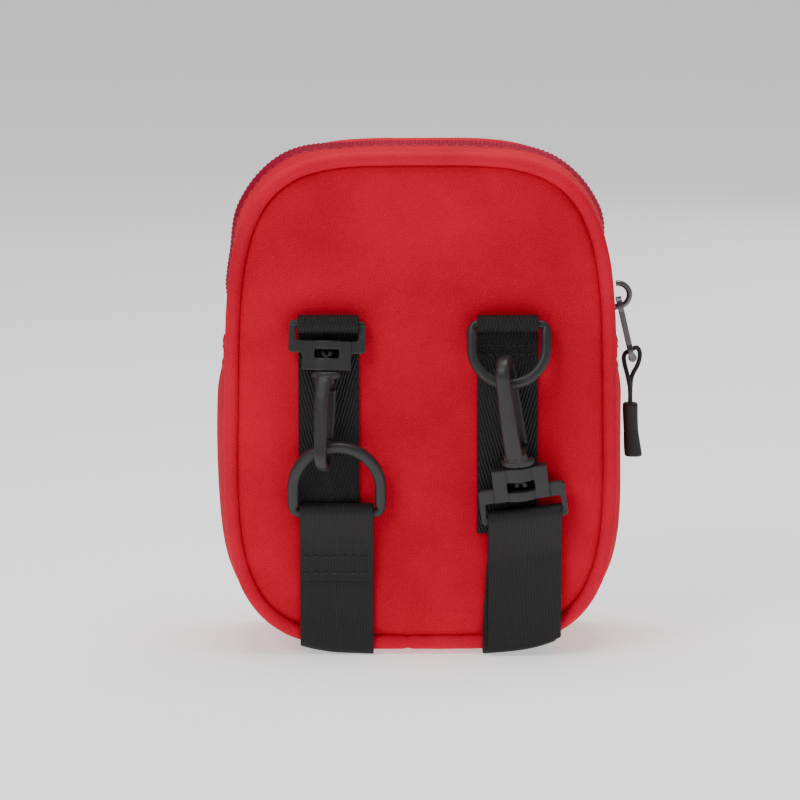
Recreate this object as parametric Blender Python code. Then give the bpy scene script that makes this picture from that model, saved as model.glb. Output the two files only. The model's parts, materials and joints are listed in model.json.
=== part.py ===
"""First aid kit for hiking: a soft zipped pouch with two clip-on straps on its back.

Sizes are in millimetres, and the makers turn them into metres. X is right, Z is up, and Y runs from the
back panel (Y = 0 while modelling) into the pouch. The last step stands the kit on the origin.
"""
import math

import bmesh
import bpy
from mathutils import Matrix, Vector

MM = 0.001
GAP = 0.3

# Pouch
HALF_WIDTH = 58.0
HALF_HEIGHT = 75.7
CENTRE_Z = 82.2
DEPTH = 55.0
TAPER = 0.02
PANEL = 2.0
FABRIC = 1.2
PIPING_R = 2.3
PIPING_OFFSET = 2.7
GUSSET_OFFSET = 3.4
SEAM_Y = 4.8

# Zip
ZIP_END_Z = 101.0
ZIP_Y = 26.5
BAND_EDGE = 4.5
TAPE_OFFSET = 3.0
TAPE_EDGE = 0.6
TAPE_WIDTH = 8.4
COIL_R = 0.85
COIL_OFFSET = 1.9
SLIDER_Z = 113.5
SLIDER_LENGTH = 11.3
SLIDER_WIDTH = 8.0
CROWN_R = 3.8
CROWN_WIRE = 0.7
TAB_LEAN = math.radians(13)
TAB_TOP = 1.5
TAB_END = 22.5
TAB_HOLE = 18.8
CORD_R = 0.75
GRIP_TOP = 78.2
GRIP_LENGTH = 17.7

# Webbing and hardware
WEBBING = 1.2
LAYER = GAP + WEBBING / 2
LOOP_R = 2.6
UPPER_WIDTH = 19.4
LOWER_WIDTH = 23.6
UPPER_BAR_Z = 108.2
LEFT_UPPER_X = -29.4
RIGHT_UPPER_X = 27.8
LEFT_LOWER_X = -26.8
RIGHT_LOWER_X = 33.4
LEFT_LOWER_BAR_Z = 47.3
RIGHT_LOWER_BAR_Z = 46.2
SHORT_END_Z = 25.0
STRAP_END_Y = 48.0

# Clip, at the size for 20 mm webbing: distances along it, from the bar that the webbing holds
CLIP_BAR = 1.2
CLIP_HALF = 1.3
FRAME_END = 9.0
FRAME_WIDTH = 24.5
SLOT = (1.2, 4.9)
BLOCK = (5.2, 14.7)
BLOCK_WIDTH = 15.5
BLOCK_HALF = 2.4
WINDOW = (7.8, 10.8)
PIN_R = 1.1
FLANGE = (15.0, 17.3)
NECK_END = 20.2
EYE_R = 4.6
EYE_CENTRE = 41.0
HOOK_BAR = 2.6
HOOK_WIDTH = 4.4
GATE = (20.5, 36.6)
GATE_THICKNESS = 1.4
RIGHT_CLIP_SCALE = 1.14
HOOK_TWIST = math.radians(15)

# Free-standing lean of the clips and rings, away from the back panel
LEFT_CLIP_LEAN = math.radians(7.5)
RIGHT_CLIP_LEAN = math.radians(5.0)
LEFT_RING_LEAN = math.radians(13.0)
RIGHT_RING_LEAN = math.radians(16.0)
LEFT_PLANE_TURN = math.radians(181.5)
RIGHT_PLANE_TURN = math.radians(-7.5)

RED = (0.55, 0.006, 0.03)
DARK_RED = (0.30, 0.004, 0.03)
BLACK = (0.02, 0.019, 0.018)
DARK_GREY = (0.045, 0.043, 0.042)
STEEL = (0.25, 0.25, 0.26)
WHITE = (0.85, 0.85, 0.82)
CREAM = (0.78, 0.7, 0.58)
BLUE = (0.1, 0.25, 0.5)
SILVER = (0.7, 0.7, 0.72)


def clear_scene():
    for obj in list(bpy.data.objects):
        bpy.data.objects.remove(obj, do_unlink=True)


def finish_material(name, colour, roughness, metallic=0.0):
    material = bpy.data.materials.new(name)
    material.use_nodes = True
    shader = material.node_tree.nodes["Principled BSDF"]
    shader.inputs["Base Color"].default_value = (*colour, 1.0)
    shader.inputs["Roughness"].default_value = roughness
    shader.inputs["Metallic"].default_value = metallic
    material.diffuse_color = (*colour, 1.0)
    return material


def link(name, data, colour, roughness=0.8, metallic=0.0, parent=None):
    """Put data in the scene as a named object with its own material."""
    obj = bpy.data.objects.new(name, data)
    bpy.context.collection.objects.link(obj)
    data.materials.append(finish_material(name, colour, roughness, metallic))
    obj.parent = parent
    return obj


def mesh_from(name, points, faces, smooth=False):
    """A closed mesh from points in millimetres, with its faces turned outward."""
    bm = bmesh.new()
    verts = [bm.verts.new(Vector(p) * MM) for p in points]
    for face in faces:
        bm.faces.new([verts[i] for i in face])
    bmesh.ops.recalc_face_normals(bm, faces=bm.faces)
    mesh = bpy.data.meshes.new(name)
    bm.to_mesh(mesh)
    bm.free()
    if smooth:
        mesh.shade_smooth()
        mesh.set_sharp_from_angle(angle=math.radians(40))
    return mesh


def loft(name, sections, closed=False, smooth=False):
    """A closed solid through sections of equally many points, with end caps unless closed."""
    count = len(sections[0])
    points = [p for section in sections for p in section]
    faces = []
    spans = len(sections) if closed else len(sections) - 1
    for i in range(spans):
        a = i * count
        b = ((i + 1) % len(sections)) * count
        for j in range(count):
            k = (j + 1) % count
            faces.append((a + j, a + k, b + k, b + j))
    if not closed:
        last = (len(sections) - 1) * count
        faces.append(tuple(reversed(range(count))))
        faces.append(tuple(last + j for j in range(count)))
    return mesh_from(name, points, faces, smooth)


def prism(name, outline, low, high, axis="Y"):
    """An outline of (u, v) points pushed along an axis: Y takes (x, z) points, and X takes (y, z)."""
    places = {
        "X": lambda u, v, w: (w, u, v),
        "Y": lambda u, v, w: (u, w, v),
        "Z": lambda u, v, w: (u, v, w),
    }
    return loft(name, [[places[axis](u, v, w) for u, v in outline] for w in (low, high)])


def box_outline(u0, u1, v0, v1):
    return [(u0, v0), (u1, v0), (u1, v1), (u0, v1)]


def box(name, low, high):
    return prism(name, box_outline(low[0], high[0], low[2], high[2]), low[1], high[1])


def cylinder(name, radius, low, high, sides=20, stretch=1.0):
    """A round bar along Z, whose Y size is stretched by a factor."""
    ring = [2 * math.pi * i / sides for i in range(sides)]
    outline = [(radius * math.cos(a), radius * stretch * math.sin(a)) for a in ring]
    mesh = prism(name, outline, low, high, "Z")
    mesh.shade_smooth()
    mesh.set_sharp_from_angle(angle=math.radians(40))
    return mesh


def tube(name, points, radius, colour, closed=False, parent=None, roughness=0.6, resolution=2):
    """A round cord or bar along points, as a curve with filled caps."""
    curve = bpy.data.curves.new(name, "CURVE")
    curve.dimensions = "3D"
    curve.bevel_depth = radius * MM
    curve.bevel_resolution = resolution
    curve.use_fill_caps = True
    spline = curve.splines.new("POLY")
    spline.points.add(len(points) - 1)
    for target, point in zip(spline.points, points):
        target.co = (*(Vector(point) * MM), 1.0)
    spline.use_cyclic_u = closed
    return link(name, curve, colour, roughness, parent=parent)


def smooth_route(points, per_span):
    """Points on a smooth Catmull-Rom curve through the given points."""
    ends = [2 * Vector(points[0]) - Vector(points[1])], [2 * Vector(points[-1]) - Vector(points[-2])]
    route = ends[0] + [Vector(p) for p in points] + ends[1]
    result = []
    for a, b, c, d in zip(route, route[1:], route[2:], route[3:]):
        for i in range(per_span):
            t = i / per_span
            square = (2 * a - 5 * b + 4 * c - d) * t ** 2
            cube = (3 * b - a - 3 * c + d) * t ** 3
            result.append(0.5 * (2 * b + (c - a) * t + square + cube))
    return result + [Vector(points[-1])]


def hide(obj):
    obj.hide_render = True
    obj.display_type = "WIRE"
    return obj


def combine(obj, mesh, operation):
    """Join a mesh to an object or cut it away, with a hidden helper that moves with the object."""
    helper = hide(bpy.data.objects.new(obj.name + "_helper", mesh))
    bpy.context.collection.objects.link(helper)
    helper.parent = obj
    modifier = obj.modifiers.new(operation.lower(), "BOOLEAN")
    modifier.operation = operation
    modifier.solver = "EXACT"
    modifier.object = helper


def turned(mesh, matrix):
    """The mesh after a matrix whose move is in millimetres."""
    scaled = matrix.copy()
    scaled.translation = scaled.translation * MM
    mesh.transform(scaled)
    return mesh


def move_origin(obj, point):
    """Put an object's origin on a point of its joint axis, without moving its shape."""
    obj.data.transform(Matrix.Translation(-Vector(point) * MM))
    obj.location = Vector(point) * MM


def pivot(name, point, matrix=None, parent=None):
    """An empty on a joint axis."""
    empty = bpy.data.objects.new(name, None)
    bpy.context.collection.objects.link(empty)
    empty.matrix_basis = Matrix.Translation(Vector(point) * MM) @ (matrix or Matrix.Identity(4))
    empty.parent = parent
    return empty


# ---------------------------------------------------------------- pouch outline


def outline_point(angle, offset):
    """A point (x, z) of the pouch's rounded outline, grown by an offset."""
    across = math.cos(angle)
    up = math.sin(angle)
    rise = math.copysign(math.sqrt(abs(up)), up)
    narrow = 1 - TAPER * rise
    x = (HALF_WIDTH + offset) * math.copysign(math.sqrt(abs(across)), across) * narrow
    return x, CENTRE_Z + (HALF_HEIGHT + offset) * rise


def angle_at(height, offset):
    """The right side's outline angle at a height."""
    share = (height - CENTRE_Z) / (HALF_HEIGHT + offset)
    return math.copysign(math.asin(share ** 2), share)


def side_x(height, offset):
    return outline_point(angle_at(height, offset), offset)[0]


def bottom_z(x, offset):
    """The outline's lower height at an x."""
    share = abs(x) / ((HALF_WIDTH + offset) * (1 + TAPER))
    return CENTRE_Z - (HALF_HEIGHT + offset) * (1 - share ** 4) ** 0.25


def arch(offset, height, count):
    """Points over the top, from the right side at a height to the left side."""
    start = angle_at(height, offset)
    return [outline_point(start + (math.pi - 2 * start) * i / count, offset) for i in range(count + 1)]


def cradle(offset, height, count):
    """Points round the bottom, from the left side at a height to the right side."""
    start = angle_at(height, offset)
    sweep = math.pi + 2 * start
    return [outline_point(math.pi - start + sweep * i / count, offset) for i in range(count + 1)]


def ring_points(offset, count):
    return [outline_point(2 * math.pi * (i + 0.5) / count, offset) for i in range(count)]


def band(name, inner, outer, low_y, high_y, colour, roughness=0.8):
    """A strip of fabric that follows the outline, between two offsets and two depths."""
    sections = [
        [(a[0], low_y, a[1]), (a[0], high_y, a[1]), (b[0], high_y, b[1]), (b[0], low_y, b[1])]
        for a, b in zip(inner, outer)
    ]
    return link(name, loft(name, sections), colour, roughness)


# ---------------------------------------------------------------- pouch body


def back_panel():
    link("back_panel", prism("back_panel", ring_points(0, 48), 0, PANEL), RED)
    y = PIPING_R - 0.1
    tube("rear_piping", [(x, y, z) for x, z in ring_points(PIPING_OFFSET, 48)], PIPING_R, RED, closed=True)


def gusset():
    inner = cradle(GUSSET_OFFSET, ZIP_END_Z - GAP, 36)
    outer = cradle(GUSSET_OFFSET + FABRIC, ZIP_END_Z - GAP, 36)
    band("lower_gusset", inner, outer, SEAM_Y, DEPTH - SEAM_Y, RED)


def zip_side(prefix, sign):
    """The band, tape and coil on one side of the zip: sign is -1 at the back and 1 at the front."""
    bottom = ZIP_END_Z + GAP
    seam = SEAM_Y if sign < 0 else DEPTH - SEAM_Y
    near, far = sorted((seam, ZIP_Y + sign * BAND_EDGE))
    strip = [arch(TAPE_OFFSET + 0.9, bottom, 28), arch(TAPE_OFFSET + 0.9 + FABRIC, bottom, 28)]
    pieces = [band(prefix + "_zip_band", *strip, near, far, RED)]
    near, far = sorted((ZIP_Y + sign * TAPE_WIDTH, ZIP_Y + sign * TAPE_EDGE))
    strip = [arch(TAPE_OFFSET, bottom, 28), arch(TAPE_OFFSET + 0.6, bottom, 28)]
    pieces.append(band(prefix + "_zip_tape", *strip, near, far, DARK_RED, 0.6))
    y = ZIP_Y + sign * (TAPE_EDGE + COIL_R)
    coil = [(x, y, z) for x, z in arch(COIL_OFFSET, bottom, 28)]
    pieces.append(tube(prefix + "_zip_coil", coil, COIL_R, DARK_RED, resolution=1))
    return pieces


def zip_end_tabs():
    """A folded fabric tab over each end of the zip."""
    offset = GUSSET_OFFSET + FABRIC + GAP
    for name, sign in (("zip_end_tab_left", -1), ("zip_end_tab_right", 1)):
        sections = []
        for height in (ZIP_END_Z - 7, ZIP_END_Z - 4, ZIP_END_Z - GAP):
            inner = sign * side_x(height, offset)
            outer = sign * side_x(height, offset + FABRIC)
            corners = box_outline(inner, outer, ZIP_Y - 9, ZIP_Y + 9)
            sections.append([(x, y, height) for x, y in corners])
        link(name, loft(name, sections), RED)


def front_panels():
    """The front below the zip's ends, which stays, and the flap above them, which opens."""
    y0, y1 = DEPTH - PANEL, DEPTH
    low = ZIP_END_Z - GAP / 2
    high = ZIP_END_Z + GAP / 2
    link("lower_front_panel", prism("lower_front_panel", cradle(0, low, 36), y0, y1), RED)
    flap = link("flap_panel", prism("flap_panel", arch(0, high, 28), y0, y1), RED)
    y = DEPTH - PIPING_R + 0.1
    tube("lower_front_piping", [(x, y, z) for x, z in cradle(PIPING_OFFSET, low, 36)], PIPING_R, RED)
    piping = tube("flap_piping", [(x, y, z) for x, z in arch(PIPING_OFFSET, high, 28)], PIPING_R, RED)
    return [flap, piping]


def cross_patch():
    """A plain cross sewn on the lower front panel."""
    arm, half = 19.0, 6.3
    centre = 55.0
    corners = [(half, arm), (half, half), (arm, half), (arm, -half), (half, -half), (half, -arm)]
    corners += [(-x, z) for x, z in reversed(corners)]
    outline = [(x, centre + z) for x, z in corners]
    y = DEPTH + GAP
    link("cross_patch", prism("cross_patch", outline, y, y + 0.8), WHITE, 0.7)


# ---------------------------------------------------------------- zip slider and pull


def slider():
    """Two plates with a thin bridge between the tapes, and a crown for the pull, on the wall's slope."""
    top, bottom = SLIDER_Z + SLIDER_LENGTH / 2, SLIDER_Z - SLIDER_LENGTH / 2
    slope = math.atan2(side_x(bottom, 4.3) - side_x(top, 4.3), SLIDER_LENGTH)
    centre = Vector((side_x(SLIDER_Z, 4.3), ZIP_Y, SLIDER_Z))
    wall = Matrix.Rotation(-slope, 4, "Y")
    hub = pivot("zip_slider_travel", centre, wall)
    half, width = SLIDER_LENGTH / 2, SLIDER_WIDTH / 2
    shield = [(-width * 0.72, -half), (width * 0.72, -half), (width, half * 0.4), (width * 0.7, half)]
    shield += [(-width * 0.7, half), (-width, half * 0.4)]
    body = link("zip_slider", prism("zip_slider", shield, 0.1, 1.4, "X"), STEEL, 0.4, 0.9, parent=hub)
    combine(body, prism("inner_plate", shield, -4.9, -4.0, "X"), "UNION")
    combine(body, box("bridge", (-4.5, -0.25, -half + 0.5), (0.6, 0.25, -half + 2.6)), "UNION")
    arc = [math.pi * i / 12 - math.pi / 2 for i in range(13)]
    centre_x = 2.6
    bow = [(centre_x + CROWN_R * math.cos(a), 0, CROWN_R * math.sin(a)) for a in arc]
    bow = [(0.8, 0, -CROWN_R)] + bow + [(0.8, 0, CROWN_R)]
    crown = round_bar("crown", bow, CROWN_WIRE)
    combine(body, crown, "UNION")
    return hub, wall, centre + wall @ Vector((centre_x, 0, 0))


def round_bar(name, points, radius, sides=8):
    """A round bar along points in the XZ plane, as a closed mesh."""
    sections = []
    for i, point in enumerate(points):
        before = Vector(points[max(i - 1, 0)])
        after = Vector(points[min(i + 1, len(points) - 1)])
        along = (after - before).normalized()
        side = Vector((0, 1, 0))
        out = along.cross(side)
        ring = [2 * math.pi * j / sides for j in range(sides)]
        sections.append([Vector(point) + (side * math.cos(a) + out * math.sin(a)) * radius for a in ring])
    return loft(name, sections, smooth=True)


def pull_tab(crown_centre):
    """The tab hangs from the crown, and turns about the crown's centre."""
    hang = Matrix.Rotation(-TAB_LEAN, 4, "Y")
    hub = pivot("pull_tab_hinge", crown_centre, hang)
    outline = [(-2.0, -TAB_TOP), (-2.75, -TAB_TOP - 1), (-2.4, -TAB_END + 5)]
    outline += [(-3.0, -TAB_END + 2.5), (-1.6, -TAB_END)]
    outline += [(-y, z) for y, z in reversed(outline)]
    plate = link("pull_tab", prism("pull_tab", outline, -0.65, 0.65, "X"), STEEL, 0.4, 0.9, parent=hub)
    across = Matrix.Rotation(math.pi / 2, 4, "Y")
    for depth in (CROWN_R, TAB_HOLE):
        hole = turned(cylinder("hole", 1.35, -2, 2, 14), Matrix.Translation((0, 0, -depth)) @ across)
        combine(plate, hole, "DIFFERENCE")
    return Vector(crown_centre) + hang @ Vector((0, 0, -TAB_HOLE))


def cord_route(hole):
    """The cord's loop: up from the grip, through the tab's hole and back down on the other side."""
    x, y, z = hole
    grip_x = x + 0.1
    return [
        (grip_x - 0.95, y, GRIP_TOP + GAP),
        (grip_x - 1.25, y, GRIP_TOP + 5),
        (x - 2.3, y, z - 4.0),
        (x - 1.8, y, z - 1.3),
        (x, y, z + 0.1),
        (x + 2.1, y, z + 1.0),
        (x + 2.9, y, z - 0.8),
        (x + 2.5, y, z - 4.0),
        (grip_x + 1.35, y, GRIP_TOP + 5),
        (grip_x + 0.95, y, GRIP_TOP + GAP),
    ]


def pull_cord(hole):
    cord = tube("pull_cord", smooth_route(cord_route(hole), 4), CORD_R, BLACK, roughness=0.8)
    move_origin(cord, hole)
    x, y = hole[0] + 0.1, hole[1]
    shape = [(0, 2.3, 1.9), (-1.2, 2.6, 2.3), (-9, 2.6, 2.1)]
    shape += [(-14.5, 3.0, 2.4), (-17, 2.9, 2.3), (-GRIP_LENGTH, 2.2, 1.7)]
    ring = [2 * math.pi * i / 16 for i in range(16)]
    sections = [
        [(x + half * math.cos(a), y + thick * math.sin(a), GRIP_TOP + drop) for a in ring]
        for drop, half, thick in shape
    ]
    grip = link("pull_grip", loft("pull_grip", sections, smooth=True), BLACK, 0.7)
    move_origin(grip, hole)


# ---------------------------------------------------------------- webbing


def webbing(name, rows):
    """A strap from rows of points across its width, given its thickness by a Solidify modifier."""
    count = len(rows[0])
    points = [p for row in rows for p in row]
    faces = [
        (i * count + j, i * count + j + 1, (i + 1) * count + j + 1, (i + 1) * count + j)
        for i in range(len(rows) - 1)
        for j in range(count - 1)
    ]
    bm = bmesh.new()
    verts = [bm.verts.new(Vector(p) * MM) for p in points]
    for face in faces:
        bm.faces.new([verts[i] for i in face])
    mesh = bpy.data.meshes.new(name)
    bm.to_mesh(mesh)
    bm.free()
    strap = link(name, mesh, BLACK, 0.85)
    solid = strap.modifiers.new("thickness", "SOLIDIFY")
    solid.thickness = WEBBING * MM
    solid.offset = 0
    solid.use_even_offset = True


def loop_path(bar_out, bar_z, end_angle):
    """The fold round a bar, from its pouch side over its top: (distance out, height) pairs."""
    steps = 12
    angles = [end_angle * i / steps for i in range(steps + 1)]
    return [(bar_out - LOOP_R * math.cos(a), bar_z + LOOP_R * math.sin(a)) for a in angles]


def upper_webbing(name, x, low_z):
    """A strip flat on the back panel that folds over a bar at its top."""
    path = [(LAYER, low_z), (LAYER, (low_z + UPPER_BAR_Z) / 2)]
    path += loop_path(LAYER + LOOP_R, UPPER_BAR_Z, math.radians(282))
    rows = [[(x - UPPER_WIDTH / 2, -out, z), (x + UPPER_WIDTH / 2, -out, z)] for out, z in path]
    webbing(name, rows)


def lower_strap(name, x, bar_z, base, tilt, slide=0.0, short_end=None):
    """A strap from under the pouch, up its back, over a bar, and down again to its sewn end.

    Its inner layer can lie a little to one side. Its end stops at a height, or follows the pouch's edge.
    """
    columns = [x + LOWER_WIDTH * (i / 4 - 0.5) for i in range(5)]
    inner = [c + slide for c in columns]
    below = PIPING_OFFSET + PIPING_R + LAYER
    fold = loop_path(base + LOOP_R, 0, math.radians(180))
    rows = []
    for depth in (STRAP_END_Y, DEPTH / 2, 7.0, 4.0, 1.8, 0.2):
        rows.append([(c, depth, bottom_z(c, below)) for c in inner])
    for out, rise in ((LAYER - 0.15, 1.2), (LAYER, 4.0), (LAYER, 10.0)):
        rows.append([(c, -out, bottom_z(c, below) + rise) for c in inner])
    rows.append([(c, -LAYER, bar_z - 10 + tilt * (c - x)) for c in columns])
    rows.append([(c, -base, bar_z - 4 + tilt * (c - x)) for c in columns])
    for out, rise in fold:
        rows.append([(c, -out, bar_z + rise + tilt * (c - x)) for c in columns])
    outer = LAYER + WEBBING + GAP
    rows.append([(c, -(base + 4.1), bar_z - 3.5 + tilt * (c - x)) for c in columns])
    rows.append([(c, -(outer + base - LAYER + 0.6), bar_z - 8 + tilt * (c - x)) for c in columns])
    rows.append([(c, -outer, bar_z - 12.5 + tilt * (c - x)) for c in columns])
    rows.append([(c, -outer, short_end or bottom_z(c, below) + 0.6) for c in columns])
    webbing(name, rows)


# ---------------------------------------------------------------- rings and clips


def d_ring(name, bar, width, height, radius, lean, hang):
    """A D-ring that turns on its flat bar: hang is 1 when its bow stands up, and -1 when it hangs."""
    hub = pivot(name + "_hinge", bar, Matrix.Rotation(hang * lean, 4, "X"))
    half = width / 2
    side = height - half
    corner = 1.6
    quarter = [math.pi / 2 * i / 4 for i in range(5)]
    path = [(half - corner + corner * math.sin(a), corner - corner * math.cos(a)) for a in quarter]
    path += [(half * math.cos(math.pi * i / 16), side + half * math.sin(math.pi * i / 16)) for i in range(17)]
    path += [(-half + corner - corner * math.cos(a), corner - corner * math.sin(a)) for a in quarter]
    points = [(x, 0, hang * z) for x, z in path]
    tube(name, points, radius, DARK_GREY, closed=True, parent=hub)


def clip_bracket(name, hub, k):
    """The swivel loop that the webbing holds, with a block for the hook's pin."""
    half = FRAME_WIDTH / 2 * k
    frame = box_outline(-half, half, -CLIP_BAR, FRAME_END * k)
    body = link(name, prism(name, frame, -CLIP_HALF, CLIP_HALF), DARK_GREY, 0.45, parent=hub)
    inner = half - 1.5 * k
    combine(body, box("slot", (-inner, -4, SLOT[0]), (inner, 4, SLOT[1] * k)), "DIFFERENCE")
    wide = BLOCK_WIDTH / 2 * k
    deep = BLOCK_HALF * k
    combine(body, box("block", (-wide, -deep, BLOCK[0] * k), (wide, deep, BLOCK[1] * k)), "UNION")
    window = 4.5 * k
    combine(body, box("window", (-window, -6, WINDOW[0] * k), (window, 6, WINDOW[1] * k)), "DIFFERENCE")
    bore = cylinder("bore", PIN_R * k + 0.35, (WINDOW[1] - 1) * k, (BLOCK[1] + 1) * k, 14)
    combine(body, bore, "DIFFERENCE")
    return body


def hook_bar(name, path, thickness, width):
    """A bar of rectangular section along (y, z) points, lying across X."""
    sections = []
    for i, (y, z) in enumerate(path):
        before = Vector(path[max(i - 1, 0)])
        after = Vector(path[min(i + 1, len(path) - 1)])
        along = (after - before).normalized()
        ny, nz = -along.y * thickness / 2, along.x * thickness / 2
        low, high = (y - ny, z - nz), (y + ny, z + nz)
        half = width / 2
        sections.append([(-half, *low), (half, *low), (half, *high), (-half, *high)])
    return loft(name, sections)


def snap_hook(name, hub, k):
    """The hook: a pin with a head in the bracket's window, a flange, a neck and a curled bar."""
    flange = cylinder(name, 4.85 * k, FLANGE[0] * k, FLANGE[1] * k, 24, 0.7)
    body = link(name, flange, DARK_GREY, 0.45, parent=hub)
    combine(body, cylinder("pin", PIN_R * k, 9.5 * k, (FLANGE[0] + 0.6) * k, 14), "UNION")
    combine(body, cylinder("head", 2.0 * k, 8.3 * k, 10.2 * k, 16), "UNION")
    neck = box("neck", (-2.4 * k, -3.8 * k, (FLANGE[1] - 0.5) * k), (2.4 * k, 3.8 * k, NECK_END * k))
    combine(body, neck, "UNION")
    arc = [math.pi * i / 14 for i in range(15)]
    path = [(-2.0, NECK_END - 1.2), (-3.6, NECK_END + 2.2), (-EYE_R, NECK_END + 6)]
    path += [(-EYE_R * math.cos(a), EYE_CENTRE + EYE_R * math.sin(a)) for a in arc]
    path.append((EYE_R, GATE[1] + 0.4))
    path = [(y * k, z * k) for y, z in path]
    combine(body, hook_bar("curl", path, HOOK_BAR * k, HOOK_WIDTH * k), "UNION")
    return body


def hook_gate(name, hub, k):
    """The sprung gate that shuts the hook, turning at its root."""
    root = (3.05 * k, GATE[0] * k + GATE_THICKNESS / 2)
    path = [(root[0], GATE[0] * k), (3.7 * k, (GATE[0] + 6) * k), (EYE_R * k, GATE[1] * k)]
    gate = link(name, hook_bar(name, path, GATE_THICKNESS * k, 3.4 * k), DARK_GREY, 0.45, parent=hub)
    move_origin(gate, (0, *root))
    return gate


def clip(side, bar, turn, lean, twist, k):
    """A whole clip: the bracket swings on its bar, the hook swivels in it, the gate swings on the hook."""
    frame = Matrix.Rotation(turn, 4, "Y") @ Matrix.Rotation(lean, 4, "X")
    swing = pivot(f"clip_{side}_swing", bar, frame)
    clip_bracket(f"hook_bracket_{side}", swing, k)
    swivel = pivot(f"hook_{side}_swivel", (0, 0, 0), Matrix.Rotation(twist, 4, "Z"), parent=swing)
    snap_hook(f"snap_hook_{side}", swivel, k)
    hook_gate(f"hook_gate_{side}", swivel, k)


def left_assembly():
    upper_webbing("upper_webbing_left", LEFT_UPPER_X, LEFT_LOWER_BAR_Z + LOOP_R + 1.6)
    lower_strap("lower_strap_left", LEFT_LOWER_X, LEFT_LOWER_BAR_Z, LAYER, 0.0, short_end=SHORT_END_Z)
    bar_y = -(LAYER + LOOP_R)
    clip("left", (LEFT_UPPER_X - 0.3, bar_y, UPPER_BAR_Z), LEFT_PLANE_TURN, LEFT_CLIP_LEAN, HOOK_TWIST, 1.0)
    d_ring("d_ring_left", (LEFT_LOWER_X, bar_y, LEFT_LOWER_BAR_Z), 27.9, 22.7, 1.7, LEFT_RING_LEAN, 1)


def right_assembly():
    """The same as the left, upside down: the strap holds the clip, and the upper webbing holds the ring."""
    upper_webbing("upper_webbing_right", RIGHT_UPPER_X, RIGHT_LOWER_BAR_Z - 3.8)
    base = LAYER + WEBBING + GAP
    tilt = math.tan(-RIGHT_PLANE_TURN)
    lower_strap("lower_strap_right", RIGHT_LOWER_X, RIGHT_LOWER_BAR_Z, base, tilt, slide=-1.6)
    bar = (RIGHT_LOWER_X, -(base + LOOP_R), RIGHT_LOWER_BAR_Z)
    clip("right", bar, RIGHT_PLANE_TURN, RIGHT_CLIP_LEAN, -HOOK_TWIST, RIGHT_CLIP_SCALE)
    ring_bar = (RIGHT_UPPER_X + 0.3, -(LAYER + LOOP_R), UPPER_BAR_Z)
    d_ring("d_ring_right", ring_bar, 23.6, 19.2, 1.5, RIGHT_RING_LEAN, -1)


# ---------------------------------------------------------------- contents


def inner_pocket():
    """A shallow pocket sewn inside the back panel, open at its top."""
    y0, y1 = PANEL + GAP, 9.0
    pocket = link("inner_pocket", box("inner_pocket", (-42, y1 - 0.8, 24), (42, y1, 92)), DARK_RED, 0.8)
    walls = (((-42, y0, 24), (-41, y1, 92)), ((41, y0, 24), (42, y1, 92)), ((-42, y0, 24), (42, y1, 25)))
    for low, high in walls:
        combine(pocket, box("wall", low, high), "UNION")
    link("gloves_pack", box("gloves_pack", (-36, 3.2, 27), (36, 7.6, 88)), BLUE, 0.4)


def rolls():
    """Two crepe bandages and a roll of tape, standing on end."""
    for name, x in (("bandage_roll_left", -31.5), ("bandage_roll_middle", 0.5)):
        mesh = cylinder(name, 15.0, 0, 70, 24)
        link(name, mesh, CREAM, 0.9).location = Vector((x, 33.5, 19)) * MM
    tape = link("tape_roll", cylinder("tape_roll", 15.0, 0, 25, 24), WHITE, 0.7)
    tape.location = Vector((32.0, 33.5, 19)) * MM
    combine(tape, cylinder("core", 8.0, -1, 26, 20), "DIFFERENCE")


def packs():
    """Flat packs: a wound dressing, plasters, wipes and a folded foil blanket."""
    link("dressing_pack", box("dressing_pack", (-44, 10, 22), (44, 15.5, 100)), WHITE, 0.6)
    link("plasters_pack", box("plasters_pack", (18, 20, 46), (46, 46, 88)), CREAM, 0.6)
    link("wipes_pack", box("wipes_pack", (-46, 18, 91), (-2, 48, 98)), WHITE, 0.4)
    link("foil_blanket", box("foil_blanket", (0, 18, 91), (46, 48, 103)), SILVER, 0.25, 0.8)


def tweezers():
    """Two thin arms joined at the top."""
    x = 51.5
    arms = [(25.0, 24), (27.5, 24), (30.0, 98), (30.8, 98), (33.3, 24), (35.8, 24), (32.6, 102), (28.2, 102)]
    link("tweezers", prism("tweezers", arms, x - 1, x + 1, "X"), STEEL, 0.3, 1.0)


# ---------------------------------------------------------------- assembly


def stand_on_origin(left_out):
    """Move the kit so that its box, without the cord and grip, has its bottom centre on the origin."""
    bpy.context.view_layer.update()
    graph = bpy.context.evaluated_depsgraph_get()
    corners = []
    for obj in bpy.context.scene.objects:
        if obj.type in {"MESH", "CURVE"} and not obj.hide_render and obj.name not in left_out:
            mesh = obj.evaluated_get(graph).to_mesh()
            corners += [obj.matrix_world @ v.co for v in mesh.vertices]
    low = Vector(min(c[i] for c in corners) for i in range(3))
    high = Vector(max(c[i] for c in corners) for i in range(3))
    shift = -(low + high) / 2
    shift.z = -low.z
    for obj in bpy.context.scene.objects:
        if obj.parent is None:
            obj.location += shift


def build():
    clear_scene()
    back_panel()
    gusset()
    zip_side("rear", -1)
    flap = zip_side("front", 1) + front_panels()
    for piece in flap:
        move_origin(piece, (0, DEPTH, ZIP_END_Z))
    zip_end_tabs()
    cross_patch()
    crown_centre = slider()[2]
    pull_cord(pull_tab(crown_centre))
    left_assembly()
    right_assembly()
    inner_pocket()
    rolls()
    packs()
    tweezers()
    stand_on_origin({"pull_cord", "pull_grip"})


build()
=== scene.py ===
"""Lengths are in metres, and MM turns the millimetres of small details into metres.
"""
import json
import math

import bmesh
import bpy
import numpy as np
from mathutils import Matrix, Vector, noise


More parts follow.
